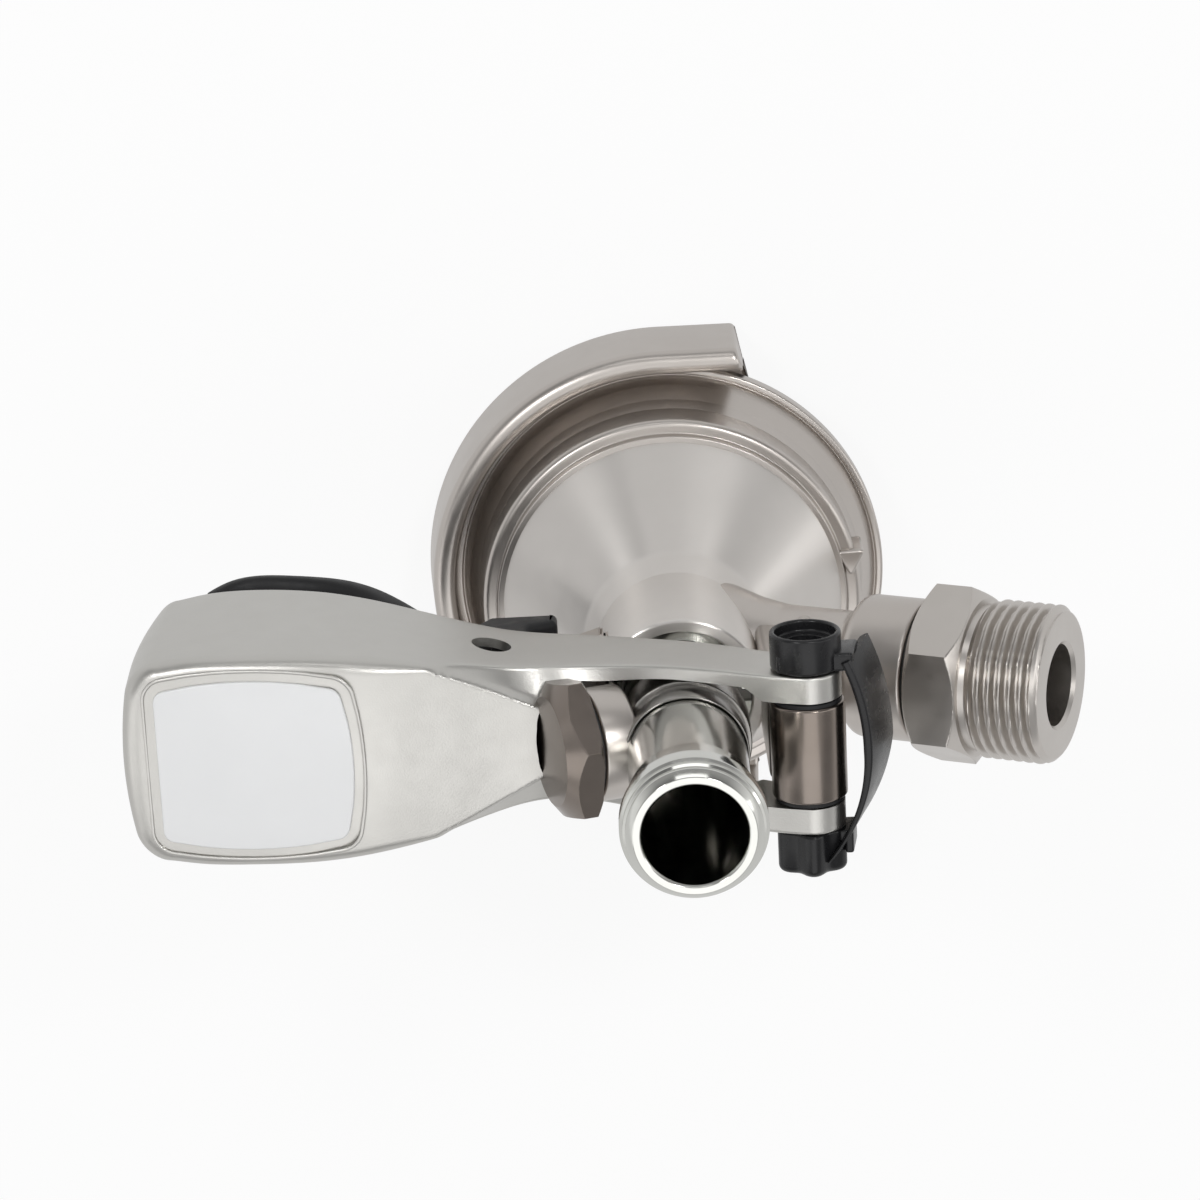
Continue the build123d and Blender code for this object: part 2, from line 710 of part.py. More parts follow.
# Trigger: finger paddle, hub and latch hook
hook_tip_x = -neck_r - 5.6 - catch_gap
with BuildPart() as trigger:
    with BuildSketch(hinge_plane) as paddle_side:
        with BuildLine():
            under = Spline((-77, 60), (-74.5, 52.2), (-66, 50.6), (-56, 53.6), (-47, 60.5), (-38, 68.5), (-33, 72))
            over = Spline((-33, 78), (-42, 75), (-52, 66), (-64, 61), (-77, 64))
            Line(under @ 1, over @ 0)
            Line(over @ 1, under @ 0)
        make_face()
    extrude(amount=grip_half_width, both=True)
    with BuildSketch(Plane.XY.offset(40)) as paddle_plan:
        with BuildLine():
            paddle_flank = Spline(
                (-30, trigger_half),
                (-41, 14.9 - handle_wall - 1.0),
                (-52, 16.8 - handle_wall - 1.0),
                (-72, paddle_half),
                (-78, paddle_half - 0.8),
                tangents=((-1, 0.3), (-1, -0.2)),
            )
            Polyline(paddle_flank @ 1, (-78, 0), (-30, 0), paddle_flank @ 0)
        make_face()
        mirror(about=Plane.XZ)
    extrude(amount=60, mode=Mode.INTERSECT)
    with BuildSketch(hinge_plane) as hub_side:
        with Locations((trigger_pin_x, trigger_pin_z)):
            Circle(hub_r)
        with BuildLine():
            Polyline((-40, 75), (-34.6, 84), (trigger_pin_x, 80), (-31, 71), (-36, 68), close=True)
        make_face()
    extrude(amount=trigger_half, both=True)
    with BuildSketch(hinge_plane) as hook_side:
        with BuildLine():
            Polyline(
                (trigger_pin_x - 5.2, trigger_pin_z - 1),
                (trigger_pin_x - 4.6, 66),
                (-31, 60.5),
                (hook_tip_x, 60.5),
                (hook_tip_x, 64.5),
                (-25.6, 66.4),
                (trigger_pin_x + 5.2, trigger_pin_z - 1),
                close=True,
            )
        make_face()
    extrude(amount=hook_half, both=True)
    with BuildSketch(hinge_plane) as spring_room:
        with Locations((trigger_pin_x, trigger_pin_z)):
            Circle(hub_r + 0.8)
    spring_half = spring_turns * spring_pitch / 2 + 1.0
    extrude(amount=spring_half, both=True, mode=Mode.SUBTRACT)
    with BuildSketch(hinge_plane) as trigger_bore:
        with Locations((trigger_pin_x, trigger_pin_z)):
            Circle(trigger_pin_r + run_fit)
    extrude(amount=grip_half_width, both=True, mode=Mode.SUBTRACT)
trigger.part.label = "trigger"
export_step(trigger.part, "parts/trigger.step")

# Cross pin of the trigger, flush with the lever's sides
trigger_pin_half = arm_outer - 0.4
with BuildPart() as trigger_pin:
    with BuildSketch(hinge_plane):
        with Locations((trigger_pin_x, trigger_pin_z)):
            Circle(trigger_pin_r)
    extrude(amount=trigger_pin_half, both=True)
trigger_pin.part.label = "trigger_pin"
export_step(trigger_pin.part, "parts/trigger_pin.step")

# Torsion spring round the trigger pin
spring_r = trigger_pin_r + free_gap + spring_wire_r
spring_length = spring_turns * spring_pitch
with BuildPart() as trigger_spring:
    with BuildLine() as coil:
        Helix(
            spring_pitch,
            spring_length,
            spring_r,
            center=(trigger_pin_x, -spring_length / 2, trigger_pin_z),
            direction=(0, 1, 0),
        )
    with BuildSketch(Plane(origin=coil.line @ 0, z_dir=coil.line % 0)):
        Circle(spring_wire_r)
    sweep(is_frenet=True)
trigger_spring.part.label = "trigger_spring"
export_step(trigger_spring.part, "parts/trigger_spring.step")

# Hinge pin, with a small groove at each end
with BuildPart() as hinge_pin:
    with BuildSketch(hinge_plane):
        with Locations((hinge_x, hinge_z)):
            Circle(hinge_pin_r)
    extrude(amount=pin_half, both=True)
    chamfer(hinge_pin.edges().filter_by(GeomType.CIRCLE), 0.4)
hinge_pin.part.label = "hinge_pin"
export_step(hinge_pin.part, "parts/hinge_pin.step")

# Two flanged bushes in the hinge boss
with BuildPart() as hinge_bushes:
    for side in (1, -1):
        with BuildSketch(Plane.XZ.offset(-side * 0.8)):
            with Locations((hinge_x, hinge_z)):
                Circle(hinge_pin_r + run_fit + bush_wall)
                Circle(hinge_pin_r + run_fit, mode=Mode.SUBTRACT)
        extrude(amount=-side * (boss_half - 0.8))
        with BuildSketch(Plane.XZ.offset(-side * boss_half)):
            with Locations((hinge_x, hinge_z)):
                Circle(boss_r - 0.5)
                Circle(hinge_pin_r + run_fit, mode=Mode.SUBTRACT)
        extrude(amount=-side * bush_flange)
hinge_bushes.part.label = "hinge_bushes"
export_step(hinge_bushes.part, "parts/hinge_bushes.step")

# Ring cap on the pin's end, with the strap that carries the knob's end
strap_chord = cap_start + cap_length / 2
strap_sag = 3.8
strap_bow = (strap_chord**2 + strap_sag**2) / (2 * strap_sag)
strap_axis_x = strap_reach_x - strap_bow
strap_sweep = 48.0
with BuildPart() as pin_keeper:
    with BuildSketch(side_plane(cap_start)):
        with Locations((-hinge_x, hinge_z)):
            Circle(cap_r)
    extrude(amount=cap_length)
    with BuildSketch(side_plane(cap_start + cap_floor)):
        with Locations((-hinge_x, hinge_z)):
            Circle(cap_r - cap_wall)
    extrude(amount=cap_length, mode=Mode.SUBTRACT)
    strap_half = radians(strap_sweep / 2)
    strap_start = Plane(
        origin=(strap_axis_x, 0, 0),
        x_dir=(cos(strap_half), -sin(strap_half), 0),
        z_dir=(-sin(strap_half), -cos(strap_half), 0),
    )
    with BuildSketch(strap_start) as strap_section:
        with BuildLine():
            Polyline(
                (strap_bow, strap_top_z),
                (strap_bow + strap_lean, strap_top_z - strap_width),
                (strap_bow + strap_lean - strap_thickness, strap_top_z - strap_width),
                (strap_bow - strap_thickness, strap_top_z),
                close=True,
            )
        make_face()
    revolve(axis=Axis((strap_axis_x, 0, 0), (0, 0, 1)), revolution_arc=strap_sweep)
    with BuildSketch(side_plane(cap_start)) as cap_pad:
        with BuildLine():
            Polyline(
                (-hinge_x - cap_r + 1.0, strap_top_z - 8),
                (-hinge_x - cap_r + 1.0, strap_top_z - 0.6),
                (-26.6, strap_top_z - 0.6),
                (-28.0, strap_top_z - 8),
                close=True,
            )
        make_face()
    extrude(amount=cap_length / 2)
    with BuildSketch(hinge_plane) as keeper_bore:
        with Locations((hinge_x, hinge_z)):
            Circle(hinge_pin_r + run_fit)
    extrude(amount=-cap_start - cap_floor - 1, mode=Mode.SUBTRACT)
pin_keeper.part.label = "pin_keeper"
export_step(pin_keeper.part, "parts/pin_keeper.step")

# Lobed knob on the pin's other end, with the tab that takes the strap
with BuildPart() as pin_knob:
    with BuildSketch(Plane.XZ.offset(cap_start)) as knob_plan:
        with Locations((hinge_x, hinge_z)):
            Circle(knob_r - 0.9)
            with PolarLocations(knob_r - 1.9, knob_lobes, 90):
                Circle(1.9)
    extrude(amount=knob_length)
    with BuildSketch(Plane.XZ.offset(cap_start)) as knob_bore:
        with Locations((hinge_x, hinge_z)):
            Circle(hinge_pin_r + run_fit)
    extrude(amount=pin_half - cap_start + 0.2, mode=Mode.SUBTRACT)
    with BuildSketch(Plane.XZ.offset(cap_start)) as knob_pad:
        with BuildLine():
            Polyline(
                (hinge_x + knob_r - 1.4, strap_top_z - 7.2),
                (hinge_x + knob_r - 1.4, strap_top_z - 1.0),
                (strap_reach_x - strap_sag - 0.4, strap_top_z - 1.0),
                (strap_reach_x - strap_sag + 1.0, strap_top_z - 7.2),
                close=True,
            )
        make_face()
    extrude(amount=1.8)
pin_knob.part.label = "pin_knob"
export_step(pin_knob.part, "parts/pin_knob.step")

# Gas nipple: hexagon, relief and male thread at its major size
hex_start = barrel_end + washer_thickness
thread_start = hex_start + hex_length + relief_length
with BuildPart() as gas_nipple:
    with BuildSketch(gas_plane(barrel_end - shank_length)):
        Circle(shank_r)
    extrude(amount=hex_start - barrel_end + shank_length)
    with BuildSketch(gas_plane(hex_start)) as nipple_hex:
        RegularPolygon(hex_flats / 2, 6, major_radius=False, rotation=0)
    extrude(amount=hex_length)
    with BuildSketch(gas_plane(hex_start + hex_length)):
        Circle(thread_relief_r)
    extrude(amount=relief_length)
    with BuildSketch(gas_plane(thread_start)):
        Circle(thread_r)
    extrude(amount=nipple_end - thread_start)
    thread_edges = gas_nipple.edges().filter_by(GeomType.CIRCLE)
    chamfer(thread_edges.filter_by(lambda edge: abs(edge.radius - thread_r) < 0.01), 0.9)
    with BuildSketch(gas_plane(barrel_end - shank_length)):
        Circle(nipple_bore_r)
    extrude(amount=nipple_end, mode=Mode.SUBTRACT)
gas_nipple.part.label = "gas_nipple"
export_step(gas_nipple.part, "parts/gas_nipple.step")

# Flat seal under the nipple's hexagon
with BuildPart() as nipple_washer:
    with BuildSketch(gas_plane(barrel_end)):
        Circle(barrel_r - 0.5)
        Circle(shank_r + seat_gap, mode=Mode.SUBTRACT)
    extrude(amount=washer_thickness)
nipple_washer.part.label = "nipple_washer"
export_step(nipple_washer.part, "parts/nipple_washer.step")

# Duckbill non-return valve
check_start = barrel_end - shank_length - check_flange_thickness
with BuildPart() as gas_check:
    with BuildSketch(gas_plane(check_start)):
        Circle(check_flange_r)
    extrude(amount=check_flange_thickness - seat_gap)
    with BuildSketch(gas_plane(check_start + 0.4)) as bill_root:
        Circle(check_r)
    with BuildSketch(gas_plane(check_start - check_length)) as bill_tip:
        SlotOverall(2 * check_r - 0.4, 1.4)
    loft()
    with BuildSketch(gas_plane(check_start + check_flange_thickness)) as bill_mouth:
        Circle(check_r - 1.2)
    extrude(amount=-check_flange_thickness - 1.5, mode=Mode.SUBTRACT)
gas_check.part.label = "gas_check"
export_step(gas_check.part, "parts/gas_check.step")

# Ring that backs the duckbill inside the nipple
with BuildPart() as gas_insert:
    with BuildSketch(gas_plane(barrel_end - shank_length + seat_gap)):
        Circle(nipple_bore_r - run_fit)
        Circle(nipple_bore_r - 2.6, mode=Mode.SUBTRACT)
    extrude(amount=insert_length)
gas_insert.part.label = "gas_insert"
export_step(gas_insert.part, "parts/gas_insert.step")

# Hexagon plug with its chamfered outer end
with BuildPart() as side_plug:
    with BuildSketch(plug_plane(plug_hex_length)):
        RegularPolygon(plug_flats / 2, 6, major_radius=False, rotation=30)
    extrude(amount=plug_hex_length)
    with BuildSketch(plug_plane(plug_hex_length)):
        Circle(plug_shank_r)
    extrude(amount=-plug_shank_length - washer_thickness)
side_plug.part.label = "side_plug"
export_step(side_plug.part, "parts/side_plug.step")

# Flat seal under the plug
with BuildPart() as plug_washer:
    with BuildSketch(plug_plane(plug_hex_length + washer_thickness)):
        Circle(plug_boss_r - 0.6)
        Circle(plug_shank_r + seat_gap, mode=Mode.SUBTRACT)
    extrude(amount=washer_thickness)
plug_washer.part.label = "plug_washer"
export_step(plug_washer.part, "parts/plug_washer.step")

print("probe lift", round(probe_lift, 3), "drive height", round(drive_z, 3))
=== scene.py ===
"""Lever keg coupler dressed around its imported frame. All sizes here are in mm until a mesh is made."""

from math import cos, pi, radians, sin, tan

import bmesh
import bpy
import numpy as np
from mathutils import Matrix, Vector


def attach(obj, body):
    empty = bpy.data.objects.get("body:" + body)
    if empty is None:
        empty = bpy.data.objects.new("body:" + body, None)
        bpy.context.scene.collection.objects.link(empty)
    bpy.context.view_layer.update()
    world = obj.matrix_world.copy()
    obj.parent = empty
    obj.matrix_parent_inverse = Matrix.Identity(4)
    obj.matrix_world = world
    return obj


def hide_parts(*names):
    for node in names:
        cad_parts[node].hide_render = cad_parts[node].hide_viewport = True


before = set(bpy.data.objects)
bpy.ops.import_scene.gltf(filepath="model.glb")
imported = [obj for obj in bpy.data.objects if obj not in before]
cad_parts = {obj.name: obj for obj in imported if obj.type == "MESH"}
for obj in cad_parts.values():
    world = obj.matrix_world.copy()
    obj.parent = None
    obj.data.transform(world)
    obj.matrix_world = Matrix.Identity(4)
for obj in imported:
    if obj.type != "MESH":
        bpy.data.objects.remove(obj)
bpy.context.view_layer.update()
MM = 0.001

# Places shared with the source
HINGE = np.array([19.4, 0.0, 102.8])
GAS_ROOT = np.array([0.0, 0.0, 50.1])
GAS_TILT = radians(26)
GAS_AXIS = np.array([cos(GAS_TILT), 0.0, sin(GAS_TILT)])
PLUG_TILT = radians(18)
PLUG_END = np.array([-21.9, 0.0, 99.7])
PLUG_AXIS = np.array([-cos(PLUG_TILT), 0.0, sin(PLUG_TILT)])
TRIGGER_PIN = np.array([-30.7, 0.0, 82.0])
DRIVE_Z = 94.764
LABEL_SLOPE = radians(5.1)
LABEL_MIDDLE = np.array([-69.8, 0.0, 99.7])


# Curves and outlines

def natural_curve(x, knots):
    """Cubic through the knots (x, y) with no bend at its ends, read at x; straight on beyond them."""
    knots = np.array(sorted(knots), float)
    kx, ky = knots[:, 0], knots[:, 1]
    step = np.diff(kx)
    rise = np.diff(ky) / step
    count = len(kx)
    matrix = np.eye(count)
    right = np.zeros(count)
    inner = np.arange(1, count - 1)
    matrix[inner, inner - 1] = step[:-1]
    matrix[inner, inner] = 2 * (step[:-1] + step[1:])
    matrix[inner, inner + 1] = step[1:]
    right[inner] = 6 * np.diff(rise)
    bend = np.linalg.solve(matrix, right)
    x = np.asarray(x, float)
    i = np.clip(np.searchsorted(kx, x) - 1, 0, count - 2)
    d = np.clip(x, kx[0], kx[-1]) - kx[i]
    slope = rise[i] - step[i] * (2 * bend[i] + bend[i + 1]) / 6
    y = ky[i] + slope * d + bend[i] * d**2 / 2 + (bend[i + 1] - bend[i]) * d**3 / (6 * step[i])
    end_slope = rise[-1] + step[-1] * bend[-2] / 6
    start_slope = rise[0] - step[0] * bend[1] / 6
    return y + np.maximum(x - kx[-1], 0) * end_slope + np.minimum(x - kx[0], 0) * start_slope


def ease(x, start, end):
    """0 before start, 1 after end, and 3t^2 - 2t^3 between them."""
    t = np.clip((np.asarray(x, float) - start) / (end - start), 0, 1)
    return t * t * (3 - 2 * t)


def rounded(corners, steps=5):
    """Closed outline whose corners (x, y, radius) are replaced by arcs tangent to both of their sides."""
    corners = np.array(corners, float)
    out = []
    count = len(corners)
    for i in range(count):
        here, radius = corners[i, :2], corners[i, 2]
        back = corners[i - 1, :2] - here
        ahead = corners[(i + 1) % count, :2] - here
        back_length, ahead_length = np.linalg.norm(back), np.linalg.norm(ahead)
        back, ahead = back / back_length, ahead / ahead_length
        half = 0.5 * np.arccos(np.clip(back @ ahead, -1, 1))
        if radius <= 0 or half > pi / 2 - 0.01:
            out.append(here[None])
            continue
        cut = min(radius / tan(half), 0.49 * back_length, 0.49 * ahead_length)
        radius = cut * tan(half)
        centre = here + (back + ahead) / np.linalg.norm(back + ahead) * radius / sin(half)
        first = here + back * cut - centre
        last = here + ahead * cut - centre
        turn = np.arctan2(first[0] * last[1] - first[1] * last[0], first @ last)
        angle = np.linspace(0, turn, steps + 1)
        out.append(
            centre
            + np.cos(angle)[:, None] * first
            + np.sin(angle)[:, None] * np.array([-first[1], first[0]])
        )
    return np.concatenate(out)


def inset(outline, amount):
    """Closed outline moved inwards: each point goes along the middle of its two sides' normals."""
    ahead = np.roll(outline, -1, 0) - outline
    ahead /= np.linalg.norm(ahead, axis=1)[:, None] + 1e-12
    back = np.roll(ahead, 1, 0)
    area = np.sum(outline[:, 0] * np.roll(outline[:, 1], -1) - outline[:, 1] * np.roll(outline[:, 0], -1))
    turn = np.sign(area)
    normal_a = turn * np.stack([-ahead[:, 1], ahead[:, 0]], 1)
    normal_b = turn * np.stack([-back[:, 1], back[:, 0]], 1)
    both = normal_a + normal_b
    scale = 1 + np.sum(normal_a * normal_b, 1)
    return outline + amount * both / np.maximum(scale, 0.35)[:, None]


# Surfaces: each gives (points, faces)

def grid_faces(rows, columns, close_rows=False, close_columns=False):
    """Quads between neighbouring points of a rows by columns grid, wrapping round where it is closed."""
    r = np.arange(rows if close_rows else rows - 1)
    c = np.arange(columns if close_columns else columns - 1)
    r, c = np.meshgrid(r, c, indexing="ij")
    r2, c2 = (r + 1) % rows, (c + 1) % columns
    quads = np.stack([r * columns + c, r * columns + c2, r2 * columns + c2, r2 * columns + c], -1)
    return quads.reshape(-1, 4)


def ring_stack(rings):
    """Closed rings one after another, joined by quads, with a flat face on the first and the last."""
    rings = np.asarray(rings, float)
    rows, columns = rings.shape[:2]
    faces = grid_faces(rows, columns, close_columns=True).tolist()
    faces.append(list(range(columns))[::-1])
    faces.append(list(range((rows - 1) * columns, rows * columns)))
    return rings.reshape(-1, 3), faces


def across(axis):
    """Two unit directions square to the axis: the first lies along Y, or along X where the axis is near Y."""
    axis = np.asarray(axis, float)
    first = np.array([0.0, 1.0, 0.0]) if abs(axis[1]) < 0.9 else np.array([1.0, 0.0, 0.0])
    first = first - (first @ axis) * axis
    first /= np.linalg.norm(first)
    return first, np.cross(axis, first)


def turned(profile, foot=(0, 0, 0), axis=(0, 0, 1), sides=160):
    """Closed profile of (radius, height) turned about an axis.

    Point = foot + height * axis + radius * (cos a * u + sin a * w), with a going once round.
    """
    axis = np.asarray(axis, float)
    u, w = across(axis)
    angle = np.linspace(0, 2 * pi, sides, endpoint=False)
    round_it = np.cos(angle)[:, None] * u + np.sin(angle)[:, None] * w
    profile = np.asarray(profile, float)
    points = (
        np.asarray(foot, float)
        + profile[:, None, 1:2] * axis
        + profile[:, None, 0:1] * round_it[None]
    )
    faces = grid_faces(len(profile), sides, close_rows=True, close_columns=True)
    return points.reshape(-1, 3), faces.tolist()


def shaped(radius, height, foot, axis):
    """Surface whose radius changes with angle and height; radius is a [heights, angles] array, closed by flat ends."""
    axis = np.asarray(axis, float)
    u, w = across(axis)
    angle = np.linspace(0, 2 * pi, radius.shape[1], endpoint=False)
    round_it = np.cos(angle)[:, None] * u + np.sin(angle)[:, None] * w
    points = (
        np.asarray(foot, float)
        + np.asarray(height, float)[:, None, None] * axis
        + radius[:, :, None] * round_it[None]
    )
    return ring_stack(points)


def slab(outline, low, high, edge=0.6, plane="xz", steps=4):
    """Flat outline given thickness, its edges rounded by a quarter circle of the edge's radius."""
    angle = np.linspace(0, pi / 2, steps + 1)
    depth = np.concatenate([low + edge * (1 - np.cos(angle)), (high - edge * (1 - np.cos(angle)))[::-1]])
    shrink = np.concatenate([edge * (1 - np.sin(angle)), edge * (1 - np.sin(angle))[::-1]])
    rings = []
    for d, s in zip(depth, shrink):
        flat = inset(outline, s)
        level = np.full(len(flat), d)
        order = {"xz": (flat[:, 0], level, flat[:, 1]), "xy": (flat[:, 0], flat[:, 1], level)}[plane]
        rings.append(np.stack(order, 1))
    return ring_stack(rings)


def tube(path, radius, sides=16):
    """Round tube along a path of points: a circle at each, square to the path and turned as little as possible."""
    path = np.asarray(path, float)
    ahead = np.gradient(path, axis=0)
    ahead /= np.linalg.norm(ahead, axis=1)[:, None]
    side = np.cross(ahead, np.array([0.0, 1.0, 0.0]))
    side /= np.linalg.norm(side, axis=1)[:, None]
    over = np.cross(ahead, side)
    angle = np.linspace(0, 2 * pi, sides, endpoint=False)
    rings = (
        path[:, None]
        + radius * np.cos(angle)[None, :, None] * side[:, None]
        + radius * np.sin(angle)[None, :, None] * over[:, None]
    )
    return ring_stack(rings)


# Finishes

def fresh_material(name):
    """New node material with its shader, and Object coordinates for its patterns."""
    material = bpy.data.materials.new(name)
    material.use_nodes = True
    nodes = material.node_tree.nodes
    return material, nodes["Principled BSDF"], nodes.new("ShaderNodeTexCoord").outputs["Object"]


def noise(material, vector, scale, detail=3.0, rough=0.55):
    """Noise pattern of about 1 / scale metres."""
    node = material.node_tree.nodes.new("ShaderNodeTexNoise")
    node.inputs["Scale"].default_value = scale
    node.inputs["Detail"].default_value = detail
    node.inputs["Roughness"].default_value = rough
    material.node_tree.links.new(vector, node.inputs["Vector"])
    return node.outputs["Fac"]


def stretch(material, vector, scale):
    """Coordinates scaled by a different amount along each axis."""
    node = material.node_tree.nodes.new("ShaderNodeMapping")
    node.inputs["Scale"].default_value = scale
    material.node_tree.links.new(vector, node.inputs["Vector"])
    return node.outputs["Vector"]


def spread(material, value, low, high, to_low, to_high):
    """Value mapped from low..high to to_low..to_high, held at the ends."""
    node = material.node_tree.nodes.new("ShaderNodeMapRange")
    node.inputs["From Min"].default_value = low
    node.inputs["From Max"].default_value = high
    node.inputs["To Min"].default_value = to_low
    node.inputs["To Max"].default_value = to_high
    material.node_tree.links.new(value, node.inputs["Value"])
    return node.outputs["Result"]


def mix_colour(material, share, first, second):
    """Colour between two colours, each a colour or another node's output."""
    node = material.node_tree.nodes.new("ShaderNodeMix")
    node.data_type = "RGBA"
    material.node_tree.links.new(share, node.inputs["Factor"])
    for socket, colour in ((node.inputs[6], first), (node.inputs[7], second)):
        if isinstance(colour, tuple):
            socket.default_value = (*colour, 1)
        else:
            material.node_tree.links.new(colour, socket)
    return node.outputs[2]


def join_bumps(material, shader, bumps):
    """Chain of Bump nodes, each (height, distance in mm, strength), into the shader's normal."""
    links = material.node_tree.links
    normal = None
    for height, distance, strength in bumps:
        node = material.node_tree.nodes.new("ShaderNodeBump")
        node.inputs["Distance"].default_value = distance * MM
        node.inputs["Strength"].default_value = strength
        links.new(height, node.inputs["Height"])
        if normal is not None:
            links.new(normal, node.inputs["Normal"])
        normal = node.outputs["Normal"]
    links.new(normal, shader.inputs["Normal"])


def metal(name, light, dark, rough, grain=None, turned_lines=0.0, aniso=0.0):
    """Metal with cloudy colour and gloss, a fine grain (size in mm, depth in mm), and rings left by turning."""
    material, shader, place = fresh_material(name)
    links = material.node_tree.links
    shader.inputs["Metallic"].default_value = 1.0
    cloud = noise(material, place, 45, 4)
    patch = noise(material, place, 260, 3)
    links.new(mix_colour(material, spread(material, cloud, 0.3, 0.7, 0, 1), dark, light), shader.inputs["Base Color"])
    links.new(spread(material, patch, 0.3, 0.7, rough[0], rough[1]), shader.inputs["Roughness"])
    bumps = []
    if grain:
        size, depth = grain
        bumps.append((noise(material, place, 1 / (size * MM), 2), depth, 1.0))
    if turned_lines:
        rings = noise(material, stretch(material, place, (4, 4, 6000)), 1, 2)
        bumps.append((rings, turned_lines, 1.0))
    if bumps:
        join_bumps(material, shader, bumps)
    if aniso:
        shader.inputs["Anisotropic"].default_value = aniso
        shader.inputs["Anisotropic Rotation"].default_value = 0.25
        tangent = material.node_tree.nodes.new("ShaderNodeTangent")
        tangent.direction_type = "RADIAL"
        tangent.axis = "Z"
        links.new(tangent.outputs["Tangent"], shader.inputs["Tangent"])
    return material


def plastic(name, light, dark, rough, grain, coat=0.0, shine=0.5):
    """Moulded plastic or rubber: slight change of tone, gloss in patches and a moulded grain."""
    material, shader, place = fresh_material(name)
    links = material.node_tree.links
    cloud = noise(material, place, 70, 3)
    patch = noise(material, place, 420, 2)
    links.new(mix_colour(material, spread(material, cloud, 0.3, 0.7, 0, 1), dark, light), shader.inputs["Base Color"])
    links.new(spread(material, patch, 0.3, 0.7, rough[0], rough[1]), shader.inputs["Roughness"])
    size, depth = grain
    join_bumps(material, shader, [(noise(material, place, 1 / (size * MM), 2), depth, 1.0)])
    shader.inputs["Specular IOR Level"].default_value = shine
    shader.inputs["Coat Weight"].default_value = coat
    shader.inputs["Coat Roughness"].default_value = 0.08
    return material


satin_nickel = metal("satin_nickel", (0.54, 0.505, 0.475), (0.50, 0.465, 0.435), (0.31, 0.35), (0.6, 0.002))
turned_nickel = metal(
    "turned_nickel", (0.74, 0.71, 0.68), (0.70, 0.67, 0.64), (0.31, 0.34), turned_lines=0.0015, aniso=0.92,
)
cast_satin = metal("cast_satin", (0.565, 0.555, 0.53), (0.545, 0.535, 0.51), (0.34, 0.39), (0.30, 0.024))
polished_steel = metal("polished_steel", (0.66, 0.66, 0.63), (0.60, 0.60, 0.57), (0.10, 0.15), turned_lines=0.0012)
pin_steel = metal("pin_steel", (0.05, 0.05, 0.05), (0.035, 0.035, 0.035), (0.35, 0.45), (0.5, 0.004))
dark_steel = metal("dark_steel", (0.34, 0.33, 0.31), (0.26, 0.25, 0.24), (0.20, 0.28), turned_lines=0.001)
# Lighter, partly diffuse copy of polished_steel: a painted reflection of the bright cone, as the beer tube's barrel
# shows it.
PAINTED_BRIGHT_METALLIC = 0.72
steel_painted_bright = metal("steel_painted_bright", (0.88, 0.88, 0.85), (0.84, 0.84, 0.81), (0.22, 0.27), turned_lines=0.0012)
steel_painted_bright.node_tree.nodes["Principled BSDF"].inputs["Metallic"].default_value = PAINTED_BRIGHT_METALLIC
worn_nickel = metal("worn_nickel", (0.58, 0.55, 0.52), (0.52, 0.49, 0.46), (0.28, 0.33), (0.6, 0.003))
bronze_plate = metal("bronze_plate", (0.24, 0.208, 0.186), (0.215, 0.183, 0.16), (0.20, 0.26), (0.45, 0.004))
black_plastic = plastic(
    "black_plastic", (0.016, 0.016, 0.017), (0.011, 0.011, 0.012), (0.42, 0.52), (0.30, 0.012), shine=0.3,
)
gloss_black = plastic(
    "gloss_black", (0.012, 0.012, 0.013), (0.008, 0.008, 0.009), (0.22, 0.30), (0.6, 0.004), shine=0.32,
)
black_rubber = plastic("black_rubber", (0.03, 0.03, 0.03), (0.018, 0.018, 0.018), (0.55, 0.68), (0.4, 0.010))
bush_plastic = plastic("bush_plastic", (0.66, 0.65, 0.61), (0.60, 0.59, 0.55), (0.35, 0.45), (0.5, 0.006))
ball_plastic = plastic("ball_plastic", (0.74, 0.74, 0.71), (0.68, 0.68, 0.65), (0.20, 0.28), (0.8, 0.003))
label_white = plastic("label_white", (0.72, 0.725, 0.73), (0.70, 0.705, 0.71), (0.30, 0.36), (0.9, 0.001), coat=0.1)


# Making pieces

def joined(parts):
    """Points and faces of several (points, faces) parts, one after another."""
    points, faces, offset = [], [], 0
    for part_points, part_faces in parts:
        points.append(np.asarray(part_points, float))
        faces.extend([[i + offset for i in face] for face in part_faces])
        offset += len(part_points)
    return np.concatenate(points), faces


def make(name, parts, body, material, nodes=(), sharp=36.0, merge=0.002):
    """One object from (points in mm, faces) parts: doubles merged, faces outwards, smooth but for sharp edges."""
    points, faces = joined(parts)
    mesh = bpy.data.meshes.new(name)
    mesh.from_pydata((points * MM).tolist(), [], faces)
    work = bmesh.new()
    work.from_mesh(mesh)
    bmesh.ops.remove_doubles(work, verts=work.verts, dist=merge * MM)
    bmesh.ops.dissolve_degenerate(work, dist=1e-7, edges=work.edges)
    bmesh.ops.recalc_face_normals(work, faces=work.faces)
    work.to_mesh(mesh)
    work.free()
    mesh.shade_smooth()
    mesh.set_sharp_from_angle(angle=radians(sharp))
    mesh.materials.append(material)
    piece = bpy.data.objects.new(name, mesh)
    bpy.context.scene.collection.objects.link(piece)
    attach(piece, body)
    if nodes:
        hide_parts(*nodes)
    return piece


def second_material(piece, material, low, high):
    """Another material on the faces whose middle lies between two heights in mm; here a lighter steel painted onto the
    beer tube's barrel.
    """
    faces = piece.data.polygons
    piece.data.materials.append(material)
    middle = np.empty(3 * len(faces), np.float32)
    faces.foreach_get("center", middle)
    height = middle[2::3] / MM
    faces.foreach_set("material_index", ((height > low) & (height < high)).astype(np.int32))


